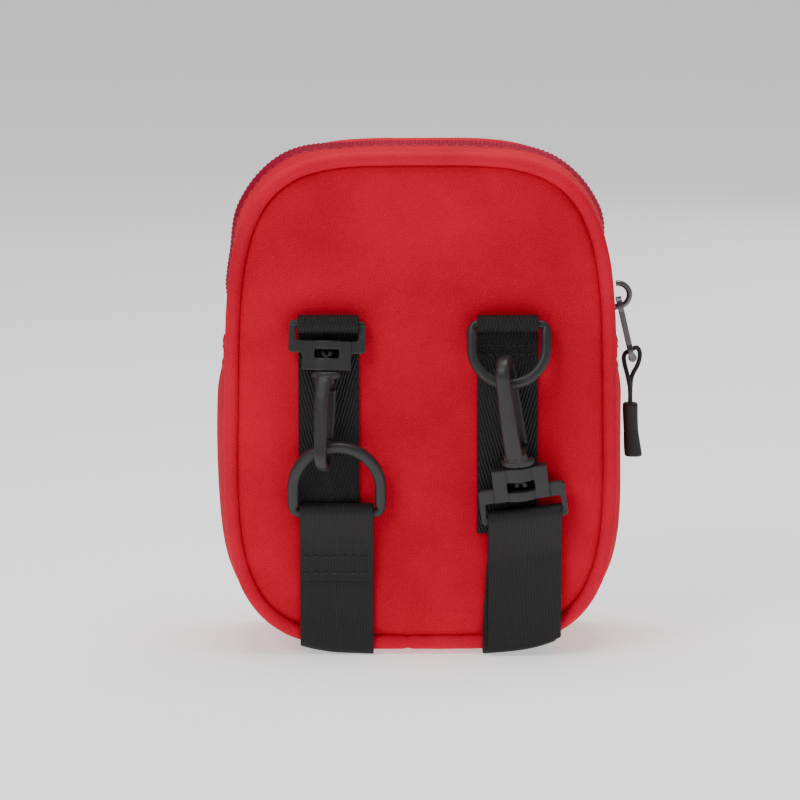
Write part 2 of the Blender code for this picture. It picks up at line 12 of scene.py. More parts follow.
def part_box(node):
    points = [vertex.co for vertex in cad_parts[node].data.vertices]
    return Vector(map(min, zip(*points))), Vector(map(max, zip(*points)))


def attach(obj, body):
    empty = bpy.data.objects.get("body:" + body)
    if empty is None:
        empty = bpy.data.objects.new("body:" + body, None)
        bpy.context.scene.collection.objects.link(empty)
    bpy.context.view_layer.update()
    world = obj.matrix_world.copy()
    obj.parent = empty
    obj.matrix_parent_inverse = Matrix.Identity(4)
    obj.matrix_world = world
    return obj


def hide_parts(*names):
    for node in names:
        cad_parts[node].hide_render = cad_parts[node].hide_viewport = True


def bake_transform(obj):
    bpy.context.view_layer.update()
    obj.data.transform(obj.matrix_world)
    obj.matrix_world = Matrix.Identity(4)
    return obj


MM = 0.001
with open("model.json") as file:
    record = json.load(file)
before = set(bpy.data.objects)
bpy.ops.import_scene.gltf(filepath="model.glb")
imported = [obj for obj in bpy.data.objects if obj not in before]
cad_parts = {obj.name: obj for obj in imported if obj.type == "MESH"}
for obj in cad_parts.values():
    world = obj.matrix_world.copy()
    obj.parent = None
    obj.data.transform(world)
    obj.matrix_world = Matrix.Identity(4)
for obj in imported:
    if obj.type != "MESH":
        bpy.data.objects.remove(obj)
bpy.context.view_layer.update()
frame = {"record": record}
record = frame["record"]
JOINTS = {joint["name"]: joint for joint in record["behaviour"]["joints"]}

# The pouch's outline is a rounded square whose width narrows a little towards the top
PANEL_LOW, PANEL_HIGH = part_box("back_panel")
CENTRE_X = (PANEL_LOW[0] + PANEL_HIGH[0]) / 2
CENTRE_Z = (PANEL_LOW[2] + PANEL_HIGH[2]) / 2
HALF_WIDTH = 58.0 * MM
HALF_HEIGHT = 75.7 * MM
TAPER = 0.02
BACK_Y = PANEL_LOW[1]
FRONT_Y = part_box("lower_front_panel")[1][1]
ZIP_Y = (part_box("rear_zip_tape")[1][1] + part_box("front_zip_tape")[0][1]) / 2
ZIP_END_Z = JOINTS["flap_open"]["pos_m"][2]


# ------------------------------------------------------------------ camera, floor and light


def camera():
    data = bpy.data.cameras.new("camera")
    data.lens = 211
    distance = 1.5
    elevation = math.radians(9)
    target = Vector((CENTRE_X - 6.6 * MM, BACK_Y, 83.2 * MM))
    cam = bpy.data.objects.new("camera", data)
    bpy.context.collection.objects.link(cam)
    cam.location = target + distance * Vector((0, -math.cos(elevation), math.sin(elevation)))
    cam.rotation_euler = (math.pi / 2 - elevation, 0, 0)
    data.clip_start, data.clip_end = 0.01, 20
    bpy.context.scene.camera = cam


def area_light(name, place, size, power, aim=(0, 0, 0.08)):
    data = bpy.data.lights.new(name, "AREA")
    data.shape = "RECTANGLE"
    data.size = data.size_y = size
    data.energy = power
    light = bpy.data.objects.new(name, data)
    bpy.context.collection.objects.link(light)
    light.location = place
    light.rotation_euler = (Vector(aim) - Vector(place)).to_track_quat("-Z", "Y").to_euler()


def studio():
    world = bpy.data.worlds.new("studio")
    world.use_nodes = True
    background = world.node_tree.nodes["Background"]
    background.inputs["Color"].default_value = (1, 1, 1, 1)
    background.inputs["Strength"].default_value = 0.2
    bpy.context.scene.world = world
    area_light("key", (-0.55, -0.75, 0.85), 0.5, 5.5)
    area_light("fill", (0.8, -0.6, 0.35), 0.8, 1.0)
    area_light("top", (0.0, 0.05, 1.0), 0.6, 8)
    area_light("rim", (0.5, 0.9, 0.5), 0.8, 2.5)
    bm = bmesh.new()
    bmesh.ops.create_grid(bm, x_segments=1, y_segments=1, size=4.0)
    mesh = mesh_from(bm, "floor")
    floor = bpy.data.objects.new("floor", mesh)
    bpy.context.collection.objects.link(floor)
    material = bpy.data.materials.new("floor")
    material.use_nodes = True
    shader = material.node_tree.nodes["Principled BSDF"]
    shader.inputs["Base Color"].default_value = (0.93, 0.93, 0.93, 1)
    shader.inputs["Roughness"].default_value = 0.9
    shader.inputs["Emission Color"].default_value = (1, 1, 1, 1)
    shader.inputs["Emission Strength"].default_value = 0.6
    mesh.materials.append(material)


# ------------------------------------------------------------------ node helpers for materials


class Nodes:
    """A short way to write a material's nodes."""

    def __init__(self, name):
        self.material = bpy.data.materials.new(name)
        self.material.use_nodes = True
        self.tree = self.material.node_tree
        self.shader = self.tree.nodes["Principled BSDF"]

    def add(self, kind, inputs=(), **settings):
        node = self.tree.nodes.new(kind)
        for key, value in settings.items():
            setattr(node, key, value)
        for key, value in dict(inputs).items():
            if isinstance(value, bpy.types.NodeSocket):
                self.tree.links.new(value, node.inputs[key])
            else:
                node.inputs[key].default_value = value
        return node

    def math(self, operation, a, b=0.0):
        return self.add("ShaderNodeMath", {0: a, 1: b}, operation=operation).outputs[0]

    def ramp(self, value, low, high, dark, light):
        """Maps a value from low..high to a colour between dark and light."""
        share = self.add("ShaderNodeMapRange", {"Value": value, "From Min": low, "From Max": high}).outputs[0]
        mix = self.add("ShaderNodeMix", {"Factor": share}, data_type="RGBA")
        mix.inputs["A"].default_value = (*dark, 1)
        mix.inputs["B"].default_value = (*light, 1)
        return mix.outputs["Result"]

    def uv(self, scale):
        """The cloth's own coordinates, counted in threads or ribs."""
        source = self.add("ShaderNodeUVMap", uv_map="cloth").outputs[0]
        scaled = self.add("ShaderNodeVectorMath", {0: source, 1: scale}, operation="MULTIPLY").outputs[0]
        split = self.add("ShaderNodeSeparateXYZ", {0: scaled})
        return scaled, split.outputs[0], split.outputs[1]

    def place(self):
        return self.add("ShaderNodeTexCoord").outputs["Object"]

    def noise(self, vector, scale, detail=3.0, rough=0.5):
        inputs = {"Vector": vector, "Scale": scale, "Detail": detail, "Roughness": rough}
        return self.add("ShaderNodeTexNoise", inputs).outputs[0]

    def bump(self, height, distance, strength=1.0, normal=None):
        inputs = {"Height": height, "Distance": distance, "Strength": strength}
        if normal is not None:
            inputs["Normal"] = normal
        return self.add("ShaderNodeBump", inputs).outputs[0]

    def set(self, name, value):
        if isinstance(value, bpy.types.NodeSocket):
            self.tree.links.new(value, self.shader.inputs[name])
        elif name == "Base Color":
            self.shader.inputs[name].default_value = (*value, 1)
        else:
            self.shader.inputs[name].default_value = value


def woven(name, dark, light, pitch, depth, roughness=0.75, sheen=0.25):
    """A plain weave of threads at a pitch, with uneven threads and a faint cloudiness of dye."""
    nodes = Nodes(name)
    turn = math.pi / (pitch * MM)
    vector, u, v = nodes.uv((turn, turn, 1))
    wobble = nodes.noise(vector, 0.3, 2)
    across = nodes.math("SINE", nodes.math("ADD", u, nodes.math("MULTIPLY", wobble, 5.0)))
    along = nodes.math("SINE", nodes.math("ADD", v, nodes.math("MULTIPLY", wobble, 5.0)))
    weave = nodes.math("MULTIPLY", across, along)
    thread = nodes.noise(vector, 0.9, 2, 0.7)
    height = nodes.math("ADD", nodes.math("MULTIPLY", weave, 0.2), thread)
    cloud = nodes.noise(nodes.place(), 35, 3)
    shade = nodes.math("ADD", nodes.math("MULTIPLY", height, 0.55), nodes.math("MULTIPLY", cloud, 0.45))
    nodes.set("Base Color", nodes.ramp(shade, 0.36, 0.64, dark, light))
    nodes.set("Normal", nodes.bump(height, depth))
    rough = nodes.math("ADD", nodes.math("MULTIPLY", thread, 0.2), roughness - 0.1)
    nodes.set("Roughness", rough)
    nodes.set("Sheen Weight", sheen)
    nodes.set("Sheen Roughness", 0.4)
    nodes.set("Specular IOR Level", 0.15)
    return nodes.material


def herringbone(name, dark, light, pitch, slant, depth):
    """Webbing: fine ribs that run down it and lean away from its middle, over a grain of yarn."""
    nodes = Nodes(name)
    vector, u, v = nodes.uv((1 / MM, 1 / MM, 1))
    waver = nodes.math("MULTIPLY", nodes.noise(vector, 0.35, 2), 0.7)
    lean = nodes.math("SUBTRACT", nodes.math("ABSOLUTE", u), nodes.math("MULTIPLY", v, slant))
    phase = nodes.math("MULTIPLY", nodes.math("ADD", lean, waver), 2 * math.pi / pitch)
    ribs = nodes.math("SINE", phase)
    yarn = nodes.math("SINE", nodes.math("MULTIPLY", v, 2 * math.pi / 0.7))
    grain = nodes.noise(vector, 2.4, 3, 0.65)
    height = nodes.math("ADD", nodes.math("MULTIPLY", ribs, 0.5), nodes.math("MULTIPLY", yarn, 0.12))
    height = nodes.math("ADD", height, nodes.math("MULTIPLY", grain, 0.5))
    nodes.set("Base Color", nodes.ramp(height, -0.4, 0.9, dark, light))
    nodes.set("Normal", nodes.bump(height, depth))
    nodes.set("Roughness", nodes.math("ADD", nodes.math("MULTIPLY", grain, 0.15), 0.5))
    nodes.set("Specular IOR Level", 0.25)
    return nodes.material


def moulded_plastic(name, colour, roughness=0.38):
    """Satin moulded plastic: faint flow marks and a fine spark texture."""
    nodes = Nodes(name)
    place = nodes.place()
    flow = nodes.noise(place, 220, 3)
    spark = nodes.noise(place, 2600, 2, 0.6)
    light = tuple(min(1, c * 1.35) for c in colour)
    nodes.set("Base Color", nodes.ramp(flow, 0.3, 0.75, colour, light))
    nodes.set("Roughness", nodes.math("ADD", nodes.math("MULTIPLY", flow, 0.2), roughness - 0.1))
    nodes.set("Normal", nodes.bump(spark, 0.02 * MM, 0.6))
    nodes.set("Specular IOR Level", 0.35)
    return nodes.material


def metal(name, colour, roughness, metallic=1.0):
    """Plated metal with polishing marks and a few duller patches."""
    nodes = Nodes(name)
    place = nodes.place()
    stretched = nodes.add("ShaderNodeVectorMath", {0: place, 1: (1, 1, 0.08)}, operation="MULTIPLY")
    brush = nodes.noise(stretched.outputs[0], 1800, 2)
    patch = nodes.noise(place, 260, 3)
    dull = tuple(c * 0.72 for c in colour)
    nodes.set("Base Color", nodes.ramp(patch, 0.3, 0.7, dull, colour))
    nodes.set("Metallic", metallic)
    nodes.set("Roughness", nodes.math("ADD", nodes.math("MULTIPLY", brush, 0.2), roughness))
    nodes.set("Normal", nodes.bump(brush, 0.01 * MM, 0.5))
    return nodes.material


def paper(name, colour, line, pitch):
    """Sachet paper with a fine fibre grain and evenly spaced embossed ribs."""
    nodes = Nodes(name)
    place = nodes.place()
    fibre = nodes.noise(place, 900, 4, 0.7)
    split = nodes.add("ShaderNodeSeparateXYZ", {0: place})
    ribs = nodes.math("SINE", nodes.math("MULTIPLY", split.outputs[2], 2 * math.pi / pitch))
    height = nodes.math("ADD", fibre, nodes.math("MULTIPLY", ribs, 0.3))
    nodes.set("Base Color", nodes.ramp(height, 0.1, 0.95, line, colour))
    nodes.set("Roughness", nodes.math("ADD", nodes.math("MULTIPLY", fibre, 0.25), 0.5))
    nodes.set("Normal", nodes.bump(height, 0.05 * MM))
    return nodes.material


def crinkled(name, colour, roughness, metallic, size, depth):
    """Thin film or rubber with random sharp creases."""
    nodes = Nodes(name)
    place = nodes.place()
    inputs = {"Vector": place, "Scale": size}
    crease = nodes.add("ShaderNodeTexVoronoi", inputs, feature="F1").outputs["Distance"]
    haze = nodes.noise(place, size * 1.7, 3)
    dark = tuple(c * 0.7 for c in colour)
    nodes.set("Base Color", nodes.ramp(haze, 0.3, 0.7, dark, colour))
    nodes.set("Metallic", metallic)
    nodes.set("Roughness", nodes.math("ADD", nodes.math("MULTIPLY", haze, 0.2), roughness))
    nodes.set("Normal", nodes.bump(crease, depth))
    return nodes.material


RED = woven("red_fabric", (0.42, 0.0001, 0.012), (0.68, 0.0002, 0.026), 0.55, 0.09 * MM, 0.85, 0.0)
RED_PIPING = woven("red_piping", (0.46, 0.0003, 0.015), (0.72, 0.001, 0.035), 0.55, 0.07 * MM, 0.75, 0.0)
RED_LINING = woven("red_lining", (0.22, 0.001, 0.008), (0.36, 0.003, 0.02), 0.35, 0.04 * MM, 0.5, 0.02)
RED_TAPE = woven("zip_tape", (0.20, 0.0002, 0.014), (0.38, 0.0006, 0.034), 0.42, 0.06 * MM, 0.6, 0.0)
RED_COIL = moulded_plastic("zip_coil", (0.22, 0.0003, 0.012), 0.5)
RED_THREAD = moulded_plastic("red_thread", (0.62, 0.002, 0.035), 0.6)
BLACK_TWILL = herringbone("black_twill", (0.003, 0.003, 0.003), (0.016, 0.015, 0.015), 1.05, 0.3, 0.22 * MM)
BLACK_WEBBING = herringbone("black_webbing", (0.007,) * 3, (0.018, 0.017, 0.017), 0.9, 0.05, 0.1 * MM)
BLACK_THREAD = moulded_plastic("black_thread", (0.022, 0.021, 0.021), 0.55)
PLASTIC = moulded_plastic("black_plastic", (0.020, 0.019, 0.019), 0.42)
RUBBER = moulded_plastic("grip_rubber", (0.016, 0.016, 0.016), 0.5)
GUNMETAL = metal("dark_metal", (0.16, 0.16, 0.17), 0.3)
STEEL = metal("steel", (0.6, 0.6, 0.62), 0.22)
CORD = woven("cord", (0.006, 0.006, 0.006), (0.05, 0.05, 0.05), 0.5, 0.1 * MM, 0.7)
WHITE_TWILL = woven("cross_print", (0.62, 0.61, 0.58), (0.9, 0.89, 0.86), 0.45, 0.06 * MM)
WHITE_THREAD = moulded_plastic("white_thread", (0.7, 0.69, 0.66), 0.6)
CREPE = woven("crepe", (0.50, 0.42, 0.31), (0.85, 0.77, 0.64), 0.8, 0.25 * MM, 0.85)
ZINC_TAPE = woven("zinc_tape", (0.66, 0.64, 0.58), (0.88, 0.86, 0.81), 0.4, 0.05 * MM)
CARD = paper("card_core", (0.55, 0.42, 0.28), (0.4, 0.3, 0.2), 0.8 * MM)
SACHET = paper("sachet_paper", (0.86, 0.87, 0.86), (0.62, 0.68, 0.72), 1.2 * MM)
PLASTER_CARD = paper("plaster_card", (0.83, 0.74, 0.60), (0.70, 0.58, 0.44), 1.6 * MM)
NITRILE = crinkled("nitrile_pack", (0.10, 0.26, 0.55), 0.35, 0.0, 160, 0.8 * MM)
FOIL = crinkled("foil", (0.78, 0.78, 0.80), 0.16, 1.0, 190, 1.2 * MM)


# ------------------------------------------------------------------ mesh helpers


def smooth_step(low, high, value):
    share = np.clip((value - low) / (high - low), 0, 1)
    return share * share * (3 - 2 * share)


def wrinkle(points, scale, seed=0.0):
    """Soft noise from -1 to 1 at each point."""
    shift = Vector((seed, seed * 1.7, -seed))
    return np.array([noise.noise(Vector(p) * scale + shift) for p in points.reshape(-1, 3)])


def distances(points):
    """The distance along a line from its first point to each of its points."""
    return np.concatenate([[0], np.cumsum(np.linalg.norm(np.diff(points, axis=0), axis=1))])


def length_of(points):
    """The length of a line of points."""
    return np.linalg.norm(np.diff(points, axis=0), axis=1).sum()


def mesh_from(bm, name):
    """A finished mesh from a bmesh, which is freed."""
    mesh = bpy.data.meshes.new(name)
    bm.to_mesh(mesh)
    bm.free()
    return mesh


def add_piece(name, mesh, material, body, replaced=()):
    """A visible piece with its material slot, the body it rides on and the nodes it replaces."""
    obj = bpy.data.objects.new(name, mesh)
    bpy.context.collection.objects.link(obj)
    if not mesh.materials:
        mesh.materials.append(material)
    if body:
        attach(obj, body)
    if replaced:
        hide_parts(*replaced)
    return obj


def grid_mesh(name, points, uv, closed=(False, False), capped=False):
    """A mesh from a grid of points, with cloth coordinates in metres on its corners.

    points is rows x columns x 3. uv is one row and column longer where the grid closes on itself.
    """
    rows, columns = points.shape[:2]
    bm = bmesh.new()
    layer = bm.loops.layers.uv.new("cloth")
    verts = [bm.verts.new(p) for p in points.reshape(-1, 3)]
    for i in range(rows if closed[0] else rows - 1):
        for j in range(columns if closed[1] else columns - 1):
            corners = [(i, j), (i + 1, j), (i + 1, j + 1), (i, j + 1)]
            face = bm.faces.new([verts[(a % rows) * columns + b % columns] for a, b in corners])
            face.smooth = True
            for loop, (a, b) in zip(face.loops, corners):
                loop[layer].uv = uv[a][b]
    if capped:
        for i in (0, rows - 1):
            ring = [verts[i * columns + j] for j in range(columns)]
            face = bm.faces.new(ring if i else list(reversed(ring)))
            for loop in face.loops:
                loop[layer].uv = (loop.vert.co.x, loop.vert.co.z)
    bmesh.ops.recalc_face_normals(bm, faces=bm.faces)
    return mesh_from(bm, name)


def strip_uv(points):
    """Cloth coordinates of a grid: the length along each column and along each row, in metres."""
    rows, columns = points.shape[:2]
    along = distances(points[:, columns // 2])
    across = distances(points[rows // 2])
    return [[(a, b) for b in across] for a in along]


def apply_modifiers(obj):
    """Keep the shape that the modifiers give, as a plain mesh."""
    graph = bpy.context.evaluated_depsgraph_get()
    graph.update()
    evaluated = obj.evaluated_get(graph)
    mesh = bpy.data.meshes.new_from_object(evaluated, preserve_all_data_layers=True, depsgraph=graph)
    obj.modifiers.clear()
    obj.data = mesh
    return obj


def thicken(obj, thickness, offset, inner=None):
    """Give a cloth surface its thickness; inner is the material of its inner face."""
    if inner:
        obj.data.materials.append(inner)
    solid = obj.modifiers.new("cloth", "SOLIDIFY")
    solid.thickness = thickness
    solid.offset = offset
    solid.use_even_offset = True
    if inner:
        solid.material_offset = 1
    return apply_modifiers(obj)


def path_frames(path, side, closed=False):
    """Unit vectors along, across and out of a path whose across direction stays near side."""
    path = np.asarray(path, float)
    if closed:
        along = np.roll(path, -1, axis=0) - np.roll(path, 1, axis=0)
    else:
        along = np.gradient(path, axis=0)
    along /= np.linalg.norm(along, axis=1)[:, None]
    side = np.broadcast_to(np.asarray(side, float), path.shape)
    out = np.cross(along, side)
    out /= np.linalg.norm(out, axis=1)[:, None]
    across = np.cross(out, along)
    return path, along, across, out


def sweep_points(path, profile, side, closed=False, sizes=None):
    """A profile of (across, out) pairs carried along a path: a grid of rows x profile points."""
    path, _, across, out = path_frames(path, side, closed)
    profile = np.asarray(profile, float)
    if sizes is None:
        sizes = np.ones(len(path))
    sizes = np.asarray(sizes, float)
    if sizes.ndim == 1:
        sizes = np.stack([sizes, sizes], axis=1)
    wide = profile[None, :, 0] * sizes[:, 0, None]
    high = profile[None, :, 1] * sizes[:, 1, None]
    return path[:, None] + wide[..., None] * across[:, None] + high[..., None] * out[:, None]


def round_profile(wide, high, power=2.0, count=20):
    """A closed rounded profile: power 2 is an ellipse, and more is squarer."""
    angles = 2 * np.pi * (np.arange(count) + 0.5) / count
    c, s = np.cos(angles), np.sin(angles)
    across = wide * np.sign(c) * np.abs(c) ** (2 / power)
    up = high * np.sign(s) * np.abs(s) ** (2 / power)
    return np.stack([across, up], axis=1)


def sweep(name, path, profile, side, material, body, replaced=(), closed=False, sizes=None):
    """A piece made by carrying a closed profile along a path."""
    points = sweep_points(path, profile, side, closed, sizes)
    run = np.vstack([path, path[:1]]) if closed else np.asarray(path)
    along = distances(run)
    around = distances(np.vstack([profile, profile[:1]]))
    uv = [[(b, a) for b in around] for a in along]
    mesh = grid_mesh(name, points, uv, closed=(closed, True), capped=not closed)
    return add_piece(name, mesh, material, body, replaced)


def smooth_curve(points, count):
    """Evenly spaced points on a Catmull-Rom curve through the given points."""
    p = np.asarray(points, float)
    p = np.vstack([2 * p[0] - p[1], p, 2 * p[-1] - p[-2]])
    fine = []
    for a, b, c, d in zip(p, p[1:], p[2:], p[3:]):
        for t in np.linspace(0, 1, 16, endpoint=False):
            fine.append(0.5 * (
                2 * b
                + (c - a) * t
                + (2 * a - 5 * b + 4 * c - d) * t ** 2
                + (3 * b - a - 3 * c + d) * t ** 3
            ))
    fine.append(p[-2])
    return even(np.array(fine), count)


def even(points, count):
    """The same line with evenly spaced points."""
    steps = distances(points)
    marks = np.linspace(0, steps[-1], count)
    return np.stack([np.interp(marks, steps, points[:, i]) for i in range(points.shape[1])], axis=1)


def stitches(name, path, out, material, body, length=2.3 * MM, gap=0.9 * MM, radius=0.24 * MM):
    """A row of sewn thread: short bowed stitches on a path, sunk into the cloth at both ends."""
    path = np.asarray(path, float)
    total = length_of(path)
    count = max(2, int(total / (length + gap)))
    marks = even(path, count * 8 + 1)
    out = np.broadcast_to(np.asarray(out, float), path.shape)
    ways = even(np.hstack([path, out]), count * 8 + 1)[:, 3:]
    bm = bmesh.new()
    for i in range(count):
        share = length / (length + gap) * 8
        rings = []
        for t in np.linspace(0, share, 5):
            index = i * 8 + t
            low = int(index)
            mix = index - low
            here = marks[low] * (1 - mix) + marks[min(low + 1, len(marks) - 1)] * mix
            way = Vector(ways[low]).normalized()
            ahead = Vector(marks[min(low + 1, len(marks) - 1)] - marks[max(low - 1, 0)]).normalized()
            side = ahead.cross(way)
            rise = radius * (1.15 * math.sin(math.pi * t / share) - 0.25)
            size = radius * (0.55 + 0.45 * math.sin(math.pi * t / share))
            centre = Vector(here) + way * rise
            turns = np.arange(6) * math.pi / 3
            ring = [centre + (side * math.cos(a) + way * math.sin(a)) * size for a in turns]
            rings.append([bm.verts.new(p) for p in ring])
        for a, b in zip(rings, rings[1:]):
            for j in range(6):
                bm.faces.new((a[j], a[(j + 1) % 6], b[(j + 1) % 6], b[j])).smooth = True
        bm.faces.new(reversed(rings[0]))
        bm.faces.new(rings[-1])
    bmesh.ops.recalc_face_normals(bm, faces=bm.faces)
    mesh = mesh_from(bm, name)
    return add_piece(name, mesh, material, body)


# ------------------------------------------------------------------ the pouch's outline


def outline(offset, count=720):
    """Points (x, z) round the pouch's outline, grown by an offset, anticlockwise from the right side."""
    angles = 2 * np.pi * np.arange(count * 4) / (count * 4)
    across, up = np.cos(angles), np.sin(angles)
    rise = np.sign(up) * np.sqrt(np.abs(up))
    x = (HALF_WIDTH + offset) * np.sign(across) * np.sqrt(np.abs(across)) * (1 - TAPER * rise)
    points = np.stack([CENTRE_X + x, CENTRE_Z + (HALF_HEIGHT + offset) * rise], axis=1)
    return even(np.vstack([points, points[:1]]), count + 1)[:-1]


def span(offset, height, top, count):
    """The outline's part above a height, from right to left, or below it, from left to right."""
    ring = outline(offset, 2880)
    chosen = ring[:, 1] >= height if top else ring[:, 1] < height
    angle = np.arctan2(ring[:, 1] - CENTRE_Z, ring[:, 0] - CENTRE_X) - (0 if top else np.pi)
    order = np.argsort((angle + 0.9) % (2 * np.pi))
    line = ring[order][chosen[order]]
    return even(line, count)


def outward(line):
    """Unit vectors (x, z) that point out of an outline's stretch."""
    along = np.gradient(line, axis=0)
    normal = np.stack([along[:, 1], -along[:, 0]], axis=1)
    return normal / np.linalg.norm(normal, axis=1)[:, None]


# ------------------------------------------------------------------ cloth simulation

PACKED_PRESSURE = 4.0


def orient_outward(obj):
    """Turn an open surface's faces away from the pouch's middle."""
    middle = Vector((CENTRE_X, ZIP_Y, CENTRE_Z))
    bm = bmesh.new()
    bm.from_mesh(obj.data)
    bm.normal_update()
    if sum(f.normal.dot(f.calc_center_median() - middle) * f.calc_area() for f in bm.faces) < 0:
        bmesh.ops.reverse_faces(bm, faces=bm.faces)
    bm.to_mesh(obj.data)
    bm.free()


def spread(values, rows, columns, shape):
    """Carry values known at some rows and columns of a grid to the whole grid."""
    tall = np.zeros((shape[0], len(columns), 3))
    full = np.zeros(shape)
    for k in range(3):
        for j in range(len(columns)):
            tall[:, j, k] = np.interp(np.arange(shape[0]), rows, values[:, j, k])
        for i in range(shape[0]):
            full[i, :, k] = np.interp(np.arange(shape[1]), columns, tall[i, :, k])
    return full


def billow(points, held, cap, closed=False):
    """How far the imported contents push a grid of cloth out, where it isn't held, up to a cap."""
    shape = points.shape
    rows = np.unique(np.linspace(0, shape[0] - 1, max(14, shape[0] // 5)).astype(int))
    columns = np.unique(np.linspace(0, shape[1] - (5 if closed else 1), max(14, shape[1] // 5)).astype(int))
    coarse = points[np.ix_(rows, columns)]
    blank = [[(0, 0)] * (len(columns) + 1)] * len(rows)
    obj = bpy.data.objects.new("billow", grid_mesh("billow", coarse, blank, closed=(False, closed)))
    bpy.context.collection.objects.link(obj)
    orient_outward(obj)
    group = obj.vertex_groups.new(name="held")
    group.add([int(i) for i in np.flatnonzero(held[np.ix_(rows, columns)])], 1.0, "REPLACE")
    cloth = obj.modifiers.new("cloth", "CLOTH")
    cloth.settings.quality = 6
    cloth.settings.mass = 0.2
    cloth.settings.tension_stiffness = cloth.settings.compression_stiffness = 25
    cloth.settings.shear_stiffness = 10
    cloth.settings.bending_stiffness = 0.4
    cloth.settings.vertex_group_mass = "held"
    cloth.settings.use_pressure = True
    cloth.settings.uniform_pressure_force = PACKED_PRESSURE
    cloth.settings.effector_weights.gravity = 0
    cloth.collision_settings.use_collision = False
    cloth.point_cache.frame_start, cloth.point_cache.frame_end = 1, 20
    for step in range(1, 21):
        bpy.context.scene.frame_set(step)
    result = obj.evaluated_get(bpy.context.evaluated_depsgraph_get()).data.vertices
    moved = np.array([v.co for v in result]).reshape(coarse.shape) - coarse
    bpy.context.scene.frame_set(1)
    bpy.data.objects.remove(obj, do_unlink=True)
    far = np.linalg.norm(moved, axis=2, keepdims=True)
    moved = moved * np.where(far > 1e-9, cap * np.tanh(far / cap) / np.maximum(far, 1e-9), 0)
    if closed:
        columns, moved = np.append(columns, shape[1]), np.concatenate([moved, moved[:, :1]], axis=1)
    return spread(moved, rows, columns, shape)


# ------------------------------------------------------------------ fabric of the pouch

STRAP_NAMES = ("upper_webbing_left", "upper_webbing_right", "lower_strap_left", "lower_strap_right")
STRAPS = [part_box(name) for name in STRAP_NAMES]


def bend_with_flap(obj):
    """Fabric that crosses the flap's fold, with its transform baked into its mesh; it does not turn with the
    flap.
    """
    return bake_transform(obj)


def strap_cover(points):
    """1 where a strap lies on the back panel, falling to 0 a few millimetres beside it."""
    cover = np.zeros(len(points))
    for low, high in STRAPS:
        beside = np.maximum(low[0] - points[:, 0], points[:, 0] - high[0])
        above = points[:, 1] - high[2]
        cover = np.maximum(cover, 1 - smooth_step(0.5 * MM, 9 * MM, np.maximum(beside, above)))
    return cover


def panel_y(points, edge, face, sign):
    """The depth of a panel's outer face at (x, z) points, edge being the distance from its seam."""
    puff = (0.4 if sign < 0 else 1.2) * MM * smooth_step(0, 24 * MM, edge)
    place = np.column_stack([points[:, 0], np.full(len(points), face), points[:, 1]])
    creases = wrinkle(place, 28, 3.1 * sign) * 0.45 * MM + wrinkle(place, 75, 7.7) * 0.12 * MM
    pucker = wrinkle(place, 170, 1.3) * 0.28 * MM * np.exp(-edge / (4 * MM))
    lift = puff + creases * smooth_step(0, 14 * MM, edge) + pucker
    if sign < 0:
        lift = lift * (1 - strap_cover(points)) - 0.1 * MM * strap_cover(points)
    groove = 3.0 * MM * np.exp(-np.maximum(edge, 0) / (1.6 * MM))
    return face + sign * (lift - groove)


def panel(name, face, sign, replaced):
    """A panel's cloth: flat rings from its seam to its middle, with a groove along the seam."""
    shares = 1 - np.linspace(0, 1, 44) ** 1.9
    shares[-1] = 0.004
    edge_line = outline(1.2 * MM, 400)
    middle = np.array([CENTRE_X, CENTRE_Z])
    rings = middle + (edge_line - middle) * shares[:, None, None]
    flat = rings.reshape(-1, 2)
    edge = np.tile(shares[:, None], (1, len(edge_line))).reshape(-1)
    edge = (1 - edge) * HALF_WIDTH
    y = panel_y(flat, edge, face, sign)
    points = np.column_stack([flat[:, 0], y, flat[:, 1]]).reshape(len(shares), len(edge_line), 3)
    held = edge.reshape(points.shape[:2]) < 2 * MM
    if sign < 0:
        held |= strap_cover(flat).reshape(held.shape) > 0.4
    points = points + billow(points, held, (0.5 if sign < 0 else 1.6) * MM, closed=True)
    uv = [[(p[0], p[2]) for p in np.vstack([row, row[:1]])] for row in points]
    mesh = grid_mesh(name, points, uv, closed=(False, True))
    bm = bmesh.new()
    bm.from_mesh(mesh)
    short = [e for e in bm.edges if e.is_boundary and e.calc_length() < 0.3 * MM]
    bmesh.ops.contextual_create(bm, geom=short)
    bm.to_mesh(mesh)
    bm.free()
    obj = add_piece(name, mesh, RED, "pouch" if sign < 0 else None, replaced)
    orient_outward(obj)
    thicken(obj, 1.5 * MM, -1, RED_LINING)
    return obj if sign < 0 else bend_with_flap(obj)


def front_surface(x, z):
    """The depth of the front panel's outer face at a point."""
    panel_mesh = bpy.data.objects["front_panel_cloth"]
    found, place, _, _ = panel_mesh.ray_cast(Vector((x, 0.2, z)), Vector((0, -1, 0)))
    return place.y if found else FRONT_Y


def piping(name, y, replaced, bends):
    """Fabric-covered cord round a panel, slightly puckered by its seam."""
    line = outline((1.9 if bends else 2.7) * MM, 720)
    path = np.column_stack([line[:, 0], np.full(len(line), y), line[:, 1]])
    uneven = 1 + 0.035 * wrinkle(path, 60, 5.0) + 0.03 * wrinkle(path, 260, 2.0)
    joint = np.linalg.norm(path - np.array([CENTRE_X - 4 * MM, y, path[:, 2].min()]), axis=1)
    uneven = uneven * (1 - 0.16 * np.exp(-((joint / (1.1 * MM)) ** 2)))
    profile = round_profile(2.3 * MM, 2.3 * MM, 2.0, 20)
    body = None if bends else "pouch"
    obj = sweep(name, path, profile, (0, 1, 0), RED_PIPING, body, replaced, True, uneven)
    return bend_with_flap(obj) if bends else obj


